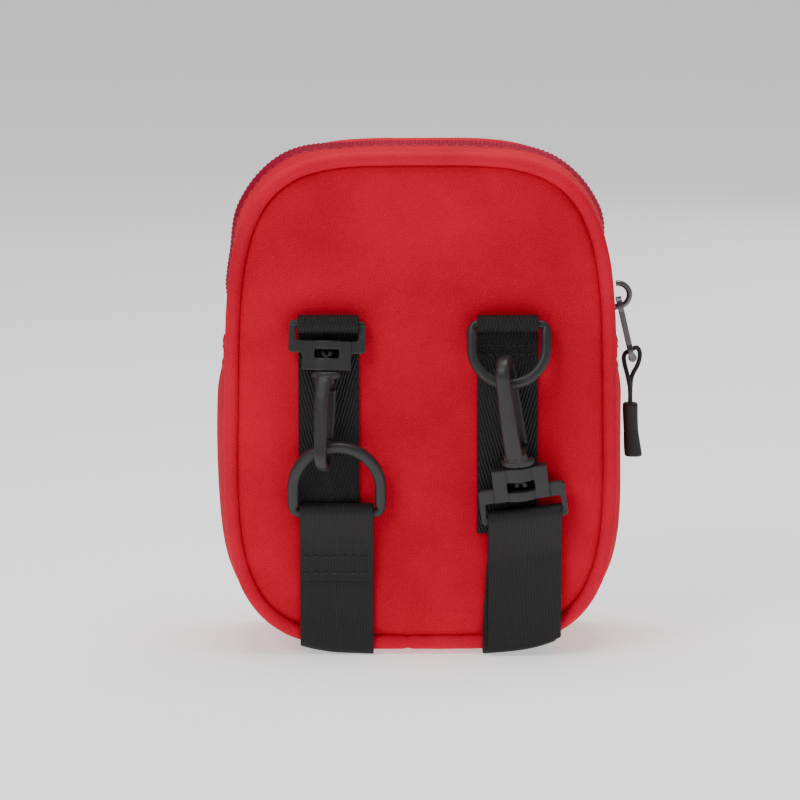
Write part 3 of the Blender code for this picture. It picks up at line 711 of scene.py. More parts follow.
def wall_points(line, depths, offsets):
    """A strip of the side wall: a line (x, z) carried through depths, pushed out by offsets."""
    normal = outward(line)
    shape = (len(line), np.shape(depths)[-1])
    offsets = np.broadcast_to(offsets, shape)
    x = line[:, None, 0] + normal[:, None, 0] * offsets
    z = line[:, None, 1] + normal[:, None, 1] * offsets
    return np.stack([x, np.broadcast_to(depths, shape), z], axis=2)


def wall_creases(line, depths, size):
    """Soft folds in a side wall, and short puckers along its seams."""
    flat = wall_points(line, depths, 0.0).reshape(-1, 3)
    soft = wrinkle(flat * np.array([1, 1.6, 1]), 34, 4.0) * size
    seam = np.minimum(flat[:, 1] - depths[0], depths[-1] - flat[:, 1])
    pucker = wrinkle(flat * np.array([1, 0.3, 1]), 190, 9.0) * 0.35 * MM * np.exp(-seam / (4 * MM))
    return (soft + pucker).reshape(len(line), len(depths))


def grip_dent(points):
    """The shallow hollow in the side wall where the zip's grip rests and slides."""
    low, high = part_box("pull_grip")
    rise = points[..., 2] - (low[2] + high[2]) / 2 + 3 * MM
    aside = points[..., 1] - (low[1] + high[1]) / 2
    depth = 2.2 * MM * np.exp(-((rise / (20 * MM)) ** 2) - (aside / (9 * MM)) ** 2)
    return np.where(points[..., 0] > CENTRE_X, depth, 0.0)


def lower_gusset():
    """The wall below the zip's ends: it swells a little, and its top edges are folded and sewn."""
    line = span(0.0, ZIP_END_Z + 0.6 * MM, False, 420)
    depths = np.linspace(BACK_Y + 2.6 * MM, FRONT_Y - 2.6 * MM, 34)
    share = np.linspace(0, 1, 34)
    bulge = 2.6 + 2.4 * (1 - (2 * share - 1) ** 8) + 1.3 * np.sin(np.pi * share)
    offsets = bulge[None, :] * MM + wall_creases(line, depths, 0.5 * MM)
    run = np.arange(420) / 419
    near_top = np.minimum(run, 1 - run) * 0.32
    roll = 0.75 * MM * np.exp(-(((near_top - 1.6 * MM) / (1.5 * MM)) ** 2))
    flatten = smooth_step(0, 22 * MM, near_top)
    flat = (2.6 + 2.2 * (1 - (2 * share - 1) ** 8)) * MM
    offsets = flat[None, :] + (offsets - flat[None, :]) * flatten[:, None] + roll[:, None]
    sides = smooth_step(-73 * MM, -50 * MM, line[:, 1] - CENTRE_Z) * flatten
    offsets = offsets + 1.5 * MM * sides[:, None] * np.sin(np.pi * share)
    points = wall_points(line, depths, offsets)
    held = np.zeros(offsets.shape, bool)
    held[:, :3] = held[:, -3:] = held[:14] = held[-14:] = True
    points = points + billow(points, held, 1.4 * MM)
    points[..., 0] -= grip_dent(points)
    mesh = grid_mesh("gusset_cloth", points, strip_uv(points))
    obj = add_piece("gusset_cloth", mesh, RED, "pouch", ["lower_gusset"])
    thicken(obj, 1.1 * MM, -1, RED_LINING)
    for name, row in (("gusset_stitch_left", 14), ("gusset_stitch_right", 405)):
        way = np.append(outward(line)[row], 0)[[0, 2, 1]]
        stitches(name, points[row, 3:-3], way, RED_THREAD, "pouch")


def zip_band(name, sign, replaced):
    """The cloth between a panel's seam and the zip, with a folded edge beside the zip."""
    line = span(0.0, ZIP_END_Z + 0.3 * MM, True, 420)
    seam = BACK_Y + 2.6 * MM if sign < 0 else FRONT_Y - 2.6 * MM
    edge = ZIP_Y + sign * 4.3 * MM
    share = np.concatenate([np.linspace(0, 0.93, 20), np.linspace(0.95, 1, 6)])
    depths = seam + (edge - seam) * share
    rise = 2.6 + (2.1 if sign < 0 else 1.0) * np.minimum(1, share / 0.12) + 0.4 * np.sin(np.pi * share) ** 1.2
    fold_down = 0.6 * smooth_step(0.93, 1.0, share)
    offsets = (rise - fold_down) * MM + wall_creases(line, depths if sign < 0 else depths[::-1], 0.35 * MM)
    offsets += 0.75 * np.maximum(zip_lift(line) - 1.9 * MM, 0)[:, None] * smooth_step(0.0, 1.0, share)
    ends = np.minimum(np.arange(420), 419 - np.arange(420)) / 419 * 0.22
    offsets -= 0.5 * MM * np.exp(-ends / (3 * MM))[:, None]
    points = wall_points(line, depths, offsets)
    held = np.zeros(offsets.shape, bool)
    held[:, :3] = held[:, -8:] = held[:10] = held[-10:] = True
    points = points + billow(points, held, 0.7 * MM)
    body = "pouch" if sign < 0 else None
    obj = add_piece(name, grid_mesh(name, points, strip_uv(points)), RED, body, replaced)
    orient_outward(obj)
    thicken(obj, 1.1 * MM, -1, RED_LINING)
    where = int(np.argmin(np.abs(share - 0.84)))
    normal = outward(line)
    way = np.column_stack([normal[:, 0], np.zeros(len(line)), normal[:, 1]])
    row = stitches(name + "_stitch", points[:, where], way, RED_THREAD, body)
    if sign > 0:
        bend_with_flap(obj)
        bend_with_flap(row)


def zip_lift(line):
    """The zip stands a little proud of the pouch over the top, and more round the two corners."""
    x, z = line[:, 0] - CENTRE_X, line[:, 1] - CENTRE_Z
    start = np.where(x < 0, 22, 42) * MM
    corner = smooth_step(22 * MM, 42 * MM, np.abs(x)) * smooth_step(0, 14 * MM, z - start)
    return (1.9 * smooth_step(44 * MM, 58 * MM, z) + np.where(x < 0, 2.4, 1.2) * corner) * MM


def zip_part(line):
    """How far each half of the zip is pushed aside by the post inside its slider."""
    from_slider = np.abs(line[:, 1] - JOINTS["tab_lift"]["pos_m"][2])
    parted = 0.8 * MM * (1 - smooth_step(12 * MM, 18 * MM, from_slider))
    return np.where(line[:, 0] > CENTRE_X, parted, 0.0)


def zip_tape(name, sign, replaced):
    """Half of the zip's tape: its inner edge folds down over the coil, whose turns show as fine ribs."""
    line = span(0.0, ZIP_END_Z + 0.3 * MM, True, 1600)
    away = np.array([8.4, 6.0, 4.4, 3.2, 2.2, 1.4, 0.8, 0.35, 0.2]) * MM
    follow = np.array([0, 0, 0.2, 0.5, 0.8, 1, 1, 1, 1])
    depths = ZIP_Y + sign * (away[None, :] + zip_part(line)[:, None] * follow[None, :])
    drop = np.array([0.0, 0.0, 0.0, 0.1, 0.35, 0.45, 0.3, -0.15, -1.1]) * MM
    length = length_of(line)
    ribs = np.sin(2 * np.pi * np.arange(1600) / 1599 * length / (1.3 * MM)) * 0.14 * MM
    strength = np.array([0, 0, 0, 0.3, 0.9, 1, 1, 0.8, 0.4])
    offsets = 3.5 * MM + drop[None, :] + ribs[:, None] * strength[None, :]
    offsets = offsets + zip_lift(line)[:, None] * np.array([0, 0.5, 0.8, 0.95, 1, 1, 1, 1, 1])
    points = wall_points(line, depths, offsets)
    mesh = grid_mesh(name, points, strip_uv(points))
    obj = add_piece(name, mesh, RED_TAPE, "pouch" if sign < 0 else None, replaced)
    orient_outward(obj)
    thicken(obj, 0.35 * MM, -1)
    return obj if sign < 0 else bend_with_flap(obj)


def zip_coil(name, sign, replaced):
    """A nylon coil wound along the tape's inner edge."""
    line = span(1.9 * MM, ZIP_END_Z + 0.6 * MM, True, 2200)
    length = length_of(line)
    turn = 2 * np.pi * np.arange(2200) / 2199 * length / (1.3 * MM)
    normal = outward(line)
    depth = ZIP_Y + sign * (1.05 * MM + zip_part(line) + 0.62 * MM * np.cos(turn))
    lift = 0.5 * MM * np.sin(turn) + zip_lift(line)
    path = np.column_stack([line[:, 0] + normal[:, 0] * lift, depth, line[:, 1] + normal[:, 1] * lift])
    profile = round_profile(0.26 * MM, 0.26 * MM, 2, 5)
    body = "pouch" if sign < 0 else None
    obj = sweep(name, path, profile, (0, 1, 0.01), RED_COIL, body, replaced)
    return obj if sign < 0 else bend_with_flap(obj)


def end_tab(side, sign):
    """A folded tab of cloth sewn across an end of the zip."""
    name = f"zip_end_tab_{side}"
    low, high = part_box(name)
    line = even(np.array([[0, low[2] - 1 * MM], [0, high[2]]]), 24)
    ring = outline(4.9 * MM, 1440)
    ring = ring[np.sign(ring[:, 0] - CENTRE_X) == sign]
    ring = ring[np.argsort(ring[:, 1])]
    line[:, 0] = np.interp(line[:, 1], ring[:, 1], ring[:, 0])
    depths = np.linspace(low[1], high[1], 22)
    across = np.linspace(-1, 1, 22)
    up = np.linspace(0, 1, 24)
    cushion = (1 - across[None, :] ** 8) * (1 - (2 * up[:, None] - 1) ** 8)
    offsets = (0.3 + 0.9 * cushion + 0.35 * np.exp(-(((up[:, None] - 0.86) / 0.1) ** 2))) * MM
    points = np.stack([
        line[:, None, 0] + sign * offsets,
        np.broadcast_to(depths, (24, 22)),
        np.broadcast_to(line[:, None, 1], (24, 22)),
    ], axis=2)
    mesh = grid_mesh(name + "_cloth", points, strip_uv(points))
    obj = add_piece(name + "_cloth", mesh, RED, "pouch", [name])
    orient_outward(obj)
    thicken(obj, 0.8 * MM, -1)
    stitches(name + "_stitch", points[13, 2:-2], (sign, 0, 0), RED_THREAD, "pouch")


def pouch_fabric():
    panel("back_panel_cloth", BACK_Y, -1, ["back_panel"])
    panel("front_panel_cloth", FRONT_Y, 1, ["lower_front_panel", "flap_panel"])
    piping("rear_piping_cloth", BACK_Y + 2.2 * MM, ["rear_piping"], False)
    piping("front_piping_cloth", FRONT_Y - 2.2 * MM, ["lower_front_piping", "flap_piping"], True)
    lower_gusset()
    zip_band("rear_band_cloth", -1, ["rear_zip_band"])
    zip_band("front_band_cloth", 1, ["front_zip_band"])
    zip_tape("rear_tape_cloth", -1, ["rear_zip_tape"])
    zip_tape("front_tape_cloth", 1, ["front_zip_tape"])
    zip_coil("rear_coil_winding", -1, ["rear_zip_coil"])
    zip_coil("front_coil_winding", 1, ["front_zip_coil"])
    end_tab("left", -1)
    end_tab("right", 1)


# ------------------------------------------------------------------ webbing

MIDDLE_HEIGHT = 82.2


def from_back(points):
    """Millimetres right of the middle, in front of the back's face and above ground, as frame positions."""
    return np.asarray(points, float) * MM + np.array([CENTRE_X, BACK_Y, CENTRE_Z - MIDDLE_HEIGHT * MM])


def above_ground(z):
    """A frame height in millimetres above ground, where the outline's middle is at MIDDLE_HEIGHT."""
    return (z - CENTRE_Z) / MM + MIDDLE_HEIGHT


def bottom_edge(x, offset):
    """The height of the outline's lower edge, in millimetres above ground, at an x from the middle."""
    ring = outline(offset * MM, 1440)
    low = ring[ring[:, 1] < CENTRE_Z]
    low = low[np.argsort(low[:, 0])]
    return above_ground(np.interp(CENTRE_X + np.asarray(x) * MM, low[:, 0], low[:, 1]))


def middle_of(points):
    """The line down the middle of a strap's points."""
    return points[:, points.shape[1] // 2]


def ribbon(name, rows, material, replaced, thickness=1.2 * MM):
    """A strap from rows of points across its width: evened, softened at its bends and thickened."""
    rows = np.asarray(rows, float)
    length = length_of(middle_of(rows))
    count = int(length / (0.55 * MM))
    points = np.stack([even(rows[:, j], count) for j in range(rows.shape[1])], axis=1)
    for _ in range(5):
        points[1:-1] = (points[:-2] + 2 * points[1:-1] + points[2:]) / 4
    across = points[:, -1] - points[:, 0]
    width = np.linalg.norm(across, axis=1)[:, None]
    along = np.gradient(middle_of(points), axis=0)
    normal = np.cross(along, across / width)
    normal /= np.linalg.norm(normal, axis=1)[:, None]
    ripple = wrinkle(points, 110, 6.0).reshape(points.shape[:2]) * 0.13 * MM
    points = points + normal[:, None] * ripple[..., None]
    run = distances(middle_of(points))
    sides = np.linspace(-0.5, 0.5, rows.shape[1]) * width.mean()
    mesh = grid_mesh(name, points, [[(u, v) for u in sides] for v in run])
    obj = add_piece(name, mesh, material, "pouch", replaced)
    solid = obj.modifiers.new("thickness", "SOLIDIFY")
    solid.thickness = thickness
    solid.offset = 0
    solid.use_even_offset = True
    edge = obj.modifiers.new("selvedge", "BEVEL")
    edge.width = 0.35 * MM
    edge.segments = 2
    edge.angle_limit = math.radians(60)
    apply_modifiers(obj)


def height_of(joint):
    """A joint's height in millimetres above ground."""
    return above_ground(JOINTS[joint]["pos_m"][2])


def fold(bar_out, bar_z, end_angle):
    """A fold round a bar, from its pouch side over its top: (distance out, height) pairs."""
    angles = np.radians(end_angle) * np.arange(25) / 24
    return [(bar_out - 2.6 * math.cos(a), bar_z + 2.6 * math.sin(a)) for a in angles]


def upper_webbing(side):
    """A strip flat on the back panel that folds over a bar at its top, sewn down below the fold."""
    low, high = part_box(f"upper_webbing_{side}")
    x = (low[0] + high[0]) / 2 - CENTRE_X
    x, width = x / MM, (high[0] - low[0]) / MM
    low_z = above_ground(low[2])
    bar_z = height_of("clip_left_lift")
    path = [(0.6, low_z - 2.4), (0.9, low_z), (0.9, (low_z + bar_z) / 2)] + fold(3.5, bar_z, 282)
    columns = np.linspace(-width / 2, width / 2, 21)
    rows = [from_back([(x + c, -out, z) for c in columns]) for out, z in path]
    ribbon(f"upper_strip_{side}", rows, BLACK_TWILL, [f"upper_webbing_{side}"])
    for drop in (7, 10):
        row = from_back([(x + c, -1.5, bar_z - drop) for c in columns[1:-1]])
        name = f"upper_stitch_{side}_{drop}"
        stitches(name, row, (0, -1, 0), BLACK_THREAD, "pouch", 1.7 * MM, 0.7 * MM)


def lower_strap(side, bar_z, base, tilt, slide, short_end):
    """A strap from under the pouch, up its back, over a bar, and down again to its sewn end."""
    low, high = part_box(f"lower_strap_{side}")
    width = 23.6
    x = ((low[0] + high[0]) / 2 - slide * MM / 2 - CENTRE_X) / MM
    columns = x + np.linspace(-width / 2, width / 2, 25)
    inner = columns + slide
    edge_in, edge_out = bottom_edge(inner, 5.9), bottom_edge(columns, 5.9)
    rows = [[(c, depth, z) for c, z in zip(inner, edge_in)] for depth in (48, 27.5, 7, 4, 1.8, 0.2)]
    raised = ((0.75, 1.2), (0.9, 4), (0.9, 10))
    rows += [[(c, -out, z + rise) for c, z in zip(inner, edge_in)] for out, rise in raised]
    rows.append([(c, -0.9, bar_z - 10 + tilt * (c - x)) for c in columns])
    rows.append([(c, -base, bar_z - 4 + tilt * (c - x)) for c in columns])
    over_bar = fold(base + 2.6, 0, 180)
    rows += [[(c, -out, bar_z + rise + tilt * (c - x)) for c in columns] for out, rise in over_bar]
    rows.append([(c, -(base + 4.1), bar_z - 3.5 + tilt * (c - x)) for c in columns])
    rows.append([(c, -(base + 2.1), bar_z - 8 + tilt * (c - x)) for c in columns])
    rows.append([(c, -2.4, bar_z - 12.5 + tilt * (c - x)) for c in columns])
    ends = [short_end] * 25 if short_end else edge_out + 0.6
    rows.append([(c, -2.4, z) for c, z in zip(columns, ends)])
    ribbon(f"lower_band_{side}", [from_back(row) for row in rows], BLACK_WEBBING, [f"lower_strap_{side}"])
    for height in (32.8, 27.4) if short_end else ():
        row = from_back([(c, -3.02, height) for c in columns[1:-1]])
        name = f"lower_stitch_{side}_{int(height)}"
        stitches(name, row, (0, -1, 0), BLACK_THREAD, "pouch", 1.9 * MM, 1.1 * MM)


def webbing():
    upper_webbing("left")
    upper_webbing("right")
    lower_strap("left", height_of("ring_left_lift"), 0.9, 0.0, 0.0, 25.0)
    lower_strap("right", height_of("clip_right_lift"), 2.4, math.tan(math.radians(7.5)), -1.6, None)


# ------------------------------------------------------------------ mouldings: rings, clips, slider and tab


def axes(x_axis, z_axis, origin):
    """The matrix of a local frame whose lengths are millimetres."""
    x, z = Vector(x_axis).normalized(), Vector(z_axis).normalized()
    y = z.cross(x)
    turn = Matrix((x, y, z)).transposed().to_4x4()
    return Matrix.Translation(origin) @ turn @ Matrix.Scale(MM, 4)


def sizes_along(sizes, count):
    """Sizes given at a few places, spread evenly over count places."""
    return np.interp(np.linspace(0, 1, count), np.linspace(0, 1, len(sizes)), sizes)


class Mould:
    """Overlapping solids, in millimetres, that are melted into one smooth moulding."""

    def __init__(self):
        self.bm = bmesh.new()

    def loops(self, sections):
        """A closed solid through equal rings of points."""
        rings = [[self.bm.verts.new(p) for p in ring] for ring in sections]
        count = len(rings[0])
        for a, b in zip(rings, rings[1:]):
            for j in range(count):
                self.bm.faces.new((a[j], a[(j + 1) % count], b[(j + 1) % count], b[j]))
        self.bm.faces.new(list(reversed(rings[0])))
        self.bm.faces.new(rings[-1])

    def block(self, low, high):
        x0, y0, z0 = low
        x1, y1, z1 = high
        ring = ((x0, y0), (x1, y0), (x1, y1), (x0, y1))
        self.loops([[(x, y, z) for x, y in ring] for z in (z0, z1)])

    def rod(self, start, end, radius, flat=1.0, count=40):
        """A round rod between two points; flat squeezes it across Y."""
        start, end = Vector(start), Vector(end)
        along = (end - start).normalized()
        side = Vector((0, 1, 0)) if abs(along.y) < 0.9 else Vector((1, 0, 0))
        out = along.cross(side)
        ring = [2 * math.pi * i / count for i in range(count)]
        rim = [side * math.cos(a) * radius * flat + out * math.sin(a) * radius for a in ring]
        self.loops([[point + r for r in rim] for point in (start, end)])

    def hoop(self, sections):
        """A closed ring through sections of four points, the last joined to the first."""
        rings = [[self.bm.verts.new(p) for p in ring] for ring in sections]
        for a, b in zip(rings, rings[1:] + rings[:1]):
            for j in range(4):
                self.bm.faces.new((a[j], a[(j + 1) % 4], b[(j + 1) % 4], b[j]))

    def collar(self, inner, wide, deep, low, high, count=48):
        """A ring round Z: a round hole in an oval band."""
        sections = []
        for i in range(count):
            a = 2 * math.pi * i / count
            c, s = math.cos(a), math.sin(a)
            hole, rim = (inner * c, inner * s), (wide * c, deep * s)
            sections.append([(*hole, low), (*rim, low), (*rim, high), (*hole, high)])
        self.hoop(sections)

    def bar(self, path, wide, thick, power=5.0, count=24):
        """A rounded bar along (y, z) points; wide and thick may change along it."""
        path = even(np.asarray(path, float), 60)
        wide, thick = (sizes_along(np.atleast_1d(size), 60) for size in (wide, thick))
        along = np.gradient(path, axis=0)
        along /= np.linalg.norm(along, axis=1)[:, None]
        rim = round_profile(0.5, 0.5, power, count)
        sections = []
        for (y, z), (ty, tz), w, t in zip(path, along, wide, thick):
            sections.append([(u * w, y - tz * v * t, z + ty * v * t) for u, v in rim])
        self.loops(sections)

    def cast(self, name, matrix, material, body, replaced, voxel=0.24, passes=3):
        bmesh.ops.recalc_face_normals(self.bm, faces=self.bm.faces)
        mesh = mesh_from(self.bm, name)
        obj = add_piece(name, mesh, material, body, replaced)
        melt = obj.modifiers.new("melt", "REMESH")
        melt.mode = "VOXEL"
        melt.voxel_size = voxel
        soft = obj.modifiers.new("soften", "SMOOTH")
        soft.factor = 0.5
        soft.iterations = passes
        apply_modifiers(obj)
        obj.data.transform(matrix)
        for polygon in obj.data.polygons:
            polygon.use_smooth = True
        if not obj.data.materials:
            obj.data.materials.append(material)
        return obj


def d_ring(side, width, height, radius, hang):
    """A D-ring: a slimmer straight bar inside the fold, with rounded corners and a bow."""
    joint = JOINTS[f"ring_{side}_lift"]
    lean = math.radians(13 if side == "left" else 16)
    half = width / 2
    quarter = np.radians(np.linspace(0, 90, 8))
    bow = np.radians(np.linspace(0, 180, 60))
    path = [(half - 1.6 + 1.6 * math.sin(a), 1.6 - 1.6 * math.cos(a)) for a in quarter]
    path += [(half * math.cos(a), height - half + half * math.sin(a)) for a in bow]
    path += [(-half + 1.6 - 1.6 * math.cos(a), 1.6 - 1.6 * math.sin(a)) for a in quarter]
    path = np.array([(x, 0, hang * z) for x, z in path])
    ring = even(np.vstack([path, path[:1]]), 201)[:-1]
    slim = 0.76 + 0.24 * smooth_step(0.5, 3.0, np.abs(ring[:, 2]))
    turn = np.array(Matrix.Rotation(hang * lean, 3, "X"))
    ring = ring @ turn.T * MM + np.array(joint["pos_m"])
    side_way = turn @ np.array([0, 1, 0])
    profile = round_profile(radius * MM, radius * 0.92 * MM, 2.5, 20)
    body, node = f"ring_{side}", [f"d_ring_{side}"]
    sweep(f"ring_{side}_moulding", ring, profile, side_way, PLASTIC, body, node, True, slim)


def bracket(side, k):
    """The swivel loop that the webbing holds, with the barrel where the hook turns."""
    swivel = JOINTS[f"hook_{side}_swivel"]
    frame_of_clip = axes(JOINTS[f"clip_{side}_lift"]["axis"], swivel["axis"], swivel["pos_m"])
    mould = Mould()
    half = 12.25 * k
    webbing_edge = {"left": 10.0, "right": 12.1}[side]
    mould.rod((-half + 0.6, 0, 0), (half - 0.6, 0, 0), 1.25)
    mould.block((-half + 0.3, -1.15, 5.1 * k), (half - 0.3, 1.15, 7.2 * k))
    for sign in (-1, 1):
        arm = sorted((sign * webbing_edge, sign * half))
        mould.block((arm[0], -1.15, 0), (arm[1], 1.15, 8.7 * k))
        mould.rod((sign * (half - 1.3), -1.15, 0.3), (sign * (half - 1.3), 1.15, 0.3), 1.3)
        shoulder = sorted((sign * 6.5 * k, sign * (half - 0.8 * k)))
        mould.block((shoulder[0], -1.15, 5.2 * k), (shoulder[1], 1.15, 9.2 * k))
        cheek = sorted((sign * 3.9 * k, sign * 7.8 * k))
        mould.block((cheek[0], -1.95 * k, 5.3 * k), (cheek[1], 1.95 * k, 14.6 * k))
    mould.collar(0.5 * k, 4.5 * k, 2.75 * k, 5.1 * k, 7.9 * k)
    mould.collar(1.65 * k, 4.5 * k, 2.75 * k, 10.7 * k, 14.7 * k)
    name, body, replaced = f"bracket_{side}_moulding", f"bracket_{side}", [f"hook_bracket_{side}"]
    mould.cast(name, frame_of_clip, PLASTIC, body, replaced, passes=6)


def hook(side, k):
    """The hook: two prongs in the bracket's window, a flange, a neck with two bumps and a curled shank."""
    swivel = JOINTS[f"hook_{side}_swivel"]
    frame_of_hook = axes(JOINTS[f"gate_{side}_open"]["axis"], swivel["axis"], swivel["pos_m"])
    mould = Mould()
    mould.rod((0, 0, 9.9 * k), (0, 0, 16 * k), 1.05 * k)
    for sign in (-1, 1):
        mould.rod((sign * 1.3 * k, 0, 8.6 * k), (sign * 0.9 * k, 0, 10.2 * k), 0.8 * k)
    mould.rod((0, 0, 15.05 * k), (0, 0, 15.7 * k), 4.55 * k, 0.7)
    mould.rod((0, 0, 15.5 * k), (0, 0, 16.8 * k), 4.85 * k, 0.7)
    mould.rod((0, 0, 16.6 * k), (0, 0, 17.3 * k), 4.4 * k, 0.7)
    mould.bar(np.array([(-0.4, 16.8), (-0.4, 20.2)]) * k, 5.0 * k, 7.2 * k, 4.0)
    for sign in (-1, 1):
        mould.rod((sign * 2.5 * k, -1.9 * k, 17.2 * k), (sign * 2.5 * k, -1.9 * k, 18.9 * k), 0.85 * k)
    arc = np.radians(np.linspace(0, 180, 40))
    path = [(-3.0, 18.0), (-3.5, 20.5), (-4.2, 24.0), (-4.6, 28.0)]
    path += [(-4.6 * math.cos(a), 41 + 4.6 * math.sin(a)) for a in arc] + [(4.6, 37.0)]
    wide = np.array([5.0, 4.6, 4.3, 3.9, 3.5, 3.2]) * k
    thick = np.array([2.9, 2.8, 2.7, 2.6, 2.4, 2.0]) * k
    mould.bar(np.array(path) * k, wide, thick, 3.0)
    name, body, replaced = f"hook_{side}_moulding", f"hook_{side}", [f"snap_hook_{side}"]
    mould.cast(name, frame_of_hook, PLASTIC, body, replaced, passes=4)


def gate(side, k):
    """The sprung gate that shuts the hook, with the round of its pivot across its foot."""
    swivel = JOINTS[f"hook_{side}_swivel"]
    frame_of_hook = axes(JOINTS[f"gate_{side}_open"]["axis"], swivel["axis"], swivel["pos_m"])
    mould = Mould()
    path = [(3.05, 20.7), (3.7, 26.5), (4.6, 36.4)]
    mould.bar(np.array(path) * k, np.array([5.4, 4.8, 4.2, 3.4]) * k, np.array([1.6, 1.5, 1.4, 1.5]) * k, 4.0)
    mould.rod((-2.2 * k, 3.1 * k, 21.4 * k), (2.2 * k, 3.1 * k, 21.4 * k), 0.85 * k)
    name, body, replaced = f"gate_{side}_moulding", f"gate_{side}", [f"hook_gate_{side}"]
    mould.cast(name, frame_of_hook, PLASTIC, body, replaced, 0.2, 2)


def hardware():
    for side, k in (("left", 1.0), ("right", 1.14)):
        bracket(side, k)
        hook(side, k)
        gate(side, k)
    d_ring("left", 27.9, 22.7, 2.0, 1)
    d_ring("right", 23.6, 19.2, 1.85, -1)


def slider():
    """The zip's slider: two waisted plates joined by a post, with a wire crown for its pull."""
    along = Vector(JOINTS["zip_travel"]["axis"])
    out = Vector((along.z, 0, -along.x))
    centre = Vector(JOINTS["tab_lift"]["pos_m"]) - out * 2.6 * MM
    place = axes(out, along, centre)
    plate = [(-2.88, -5.65), (2.88, -5.65), (4.0, 1.0), (3.9, 3.2)]
    plate += [(2.8, 5.65), (-2.8, 5.65), (-3.9, 3.2), (-4.0, 1.0)]
    mould = Mould()
    mould.loops([[(x, y * s, z * s) for y, z in plate] for x, s in ((0.15, 1.0), (0.9, 1.0), (1.35, 0.86))])
    mould.loops([[(x, y * s, z * s) for y, z in plate] for x, s in ((-4.9, 0.9), (-4.6, 1.0), (-4.05, 1.0))])
    mould.block((-4.4, -0.3, -5.1), (0.4, 0.3, -3.1))
    mould.rod((1.0, 0, -4.6), (1.9, 0, -3.4), 0.8)
    arc = np.radians(np.linspace(-90, 96, 40))
    bow = [(1.0, -3.9)] + [(2.6 + 3.8 * math.cos(a), 3.8 * math.sin(a)) for a in arc]
    bow = even(np.array(bow), 70)
    rim = round_profile(0.95, 0.95, 2.0, 16)
    way = np.gradient(bow, axis=0)
    way /= np.linalg.norm(way, axis=1)[:, None]
    mould.loops([[(x - tz * u, v, z + tx * u) for u, v in rim] for (x, z), (tx, tz) in zip(bow, way)])
    mould.cast("slider_casting", place, GUNMETAL, "zip_slider", ["zip_slider"], 0.16, 2)


def pull_tab():
    """The slider's tab: a waisted plate with a raised rim and a hole at each end."""
    lean = math.radians(13)
    out, up = (math.cos(lean), 0, math.sin(lean)), (-math.sin(lean), 0, math.cos(lean))
    place = axes(out, up, JOINTS["tab_lift"]["pos_m"])
    mould = Mould()
    for depth, wide in ((3.8, 2.75), (18.8, 3.0)):
        sections = []
        for i in range(48):
            a = 2 * math.pi * i / 48
            hole = (1.4 * math.sin(a), -(depth + 1.4 * math.cos(a)))
            rim = (wide * math.sin(a), -(depth + wide * 1.15 * math.cos(a)))
            sections.append([(-0.95, *hole), (-0.95, *rim), (0.95, *rim), (0.95, *hole)])
        mould.hoop(sections)
    mould.block((-0.65, -2.2, -16.6), (0.65, 2.2, -6.0))
    mould.rod((0.15, -1.5, -21.2), (0.15, 1.5, -21.2), 1.35)
    for sign in (-1, 1):
        rim = sorted((sign * 1.75, sign * 2.45))
        mould.block((-0.95, rim[0], -17.2), (0.95, rim[1], -5.4))
    mould.cast("tab_casting", place, GUNMETAL, "pull_tab", ["pull_tab"], 0.15, 2)


def pull_cord():
    """A thin cord looped through the tab's hole, with a moulded grip on its ends."""
    hole = Vector(JOINTS["cord_swing"]["pos_m"])
    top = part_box("pull_grip")[1][2]
    x, y, z = hole
    grip_x = x + 0.1 * MM
    hand = [
        (grip_x, y - 0.85 * MM, top + 0.3 * MM),
        (grip_x - 0.2 * MM, y - 0.8 * MM, top + 5 * MM),
        (x - 0.9 * MM, y - 0.5 * MM, z - 8.0 * MM),
        (x - 2.0 * MM, y, z - 3.5 * MM),
        (x - 1.8 * MM, y, z - 1.1 * MM),
        (x, y, z + 0.1 * MM),
        (x + 2.1 * MM, y, z + 1.0 * MM),
        (x + 3.1 * MM, y, z - 0.9 * MM),
        (x + 2.6 * MM, y + 0.2 * MM, z - 4.2 * MM),
        (x + 0.6 * MM, y + 0.6 * MM, z - 8.5 * MM),
        (grip_x + 0.1 * MM, y + 0.8 * MM, top + 5 * MM),
        (grip_x, y + 0.85 * MM, top + 0.3 * MM),
    ]
    path = smooth_curve(hand, 80)
    profile = round_profile(0.75 * MM, 0.75 * MM, 2.0, 16)
    cord = sweep("cord_loop", path, profile, (0, 1, 0), CORD, "pull_cord", ["pull_cord"])
    shape = [(0.15, 1.8, 1.3), (0, 2.2, 1.7), (-0.4, 2.45, 2.0), (-1.0, 2.5, 2.1), (-9, 2.4, 2.0)]
    shape.append((-14.5, 2.8, 2.4))
    shape += [(-16.9, 2.9, 2.45), (-17.45, 2.7, 2.2), (-17.68, 2.2, 1.7), (-17.7, 1.2, 0.9)]
    levels = even(np.array(shape), 70)
    levels = np.column_stack([levels, 1.2 * (levels[:, 0] / 17.7) ** 2])
    rim = round_profile(1.0, 1.0, 2.6, 40)
    points = np.array([
        [(grip_x + (half * u + slip) * MM, y + thick * v * MM, top + drop * MM) for u, v in rim]
        for drop, half, thick, slip in levels
    ])
    uv = [[(j / 40 * 0.015, -level[0] * MM) for j in range(41)] for level in levels]
    mesh = grid_mesh("grip_moulding", points, uv, closed=(False, True), capped=True)
    grip = add_piece("grip_moulding", mesh, RUBBER, "pull_cord", ["pull_grip"])


# ------------------------------------------------------------------ contents


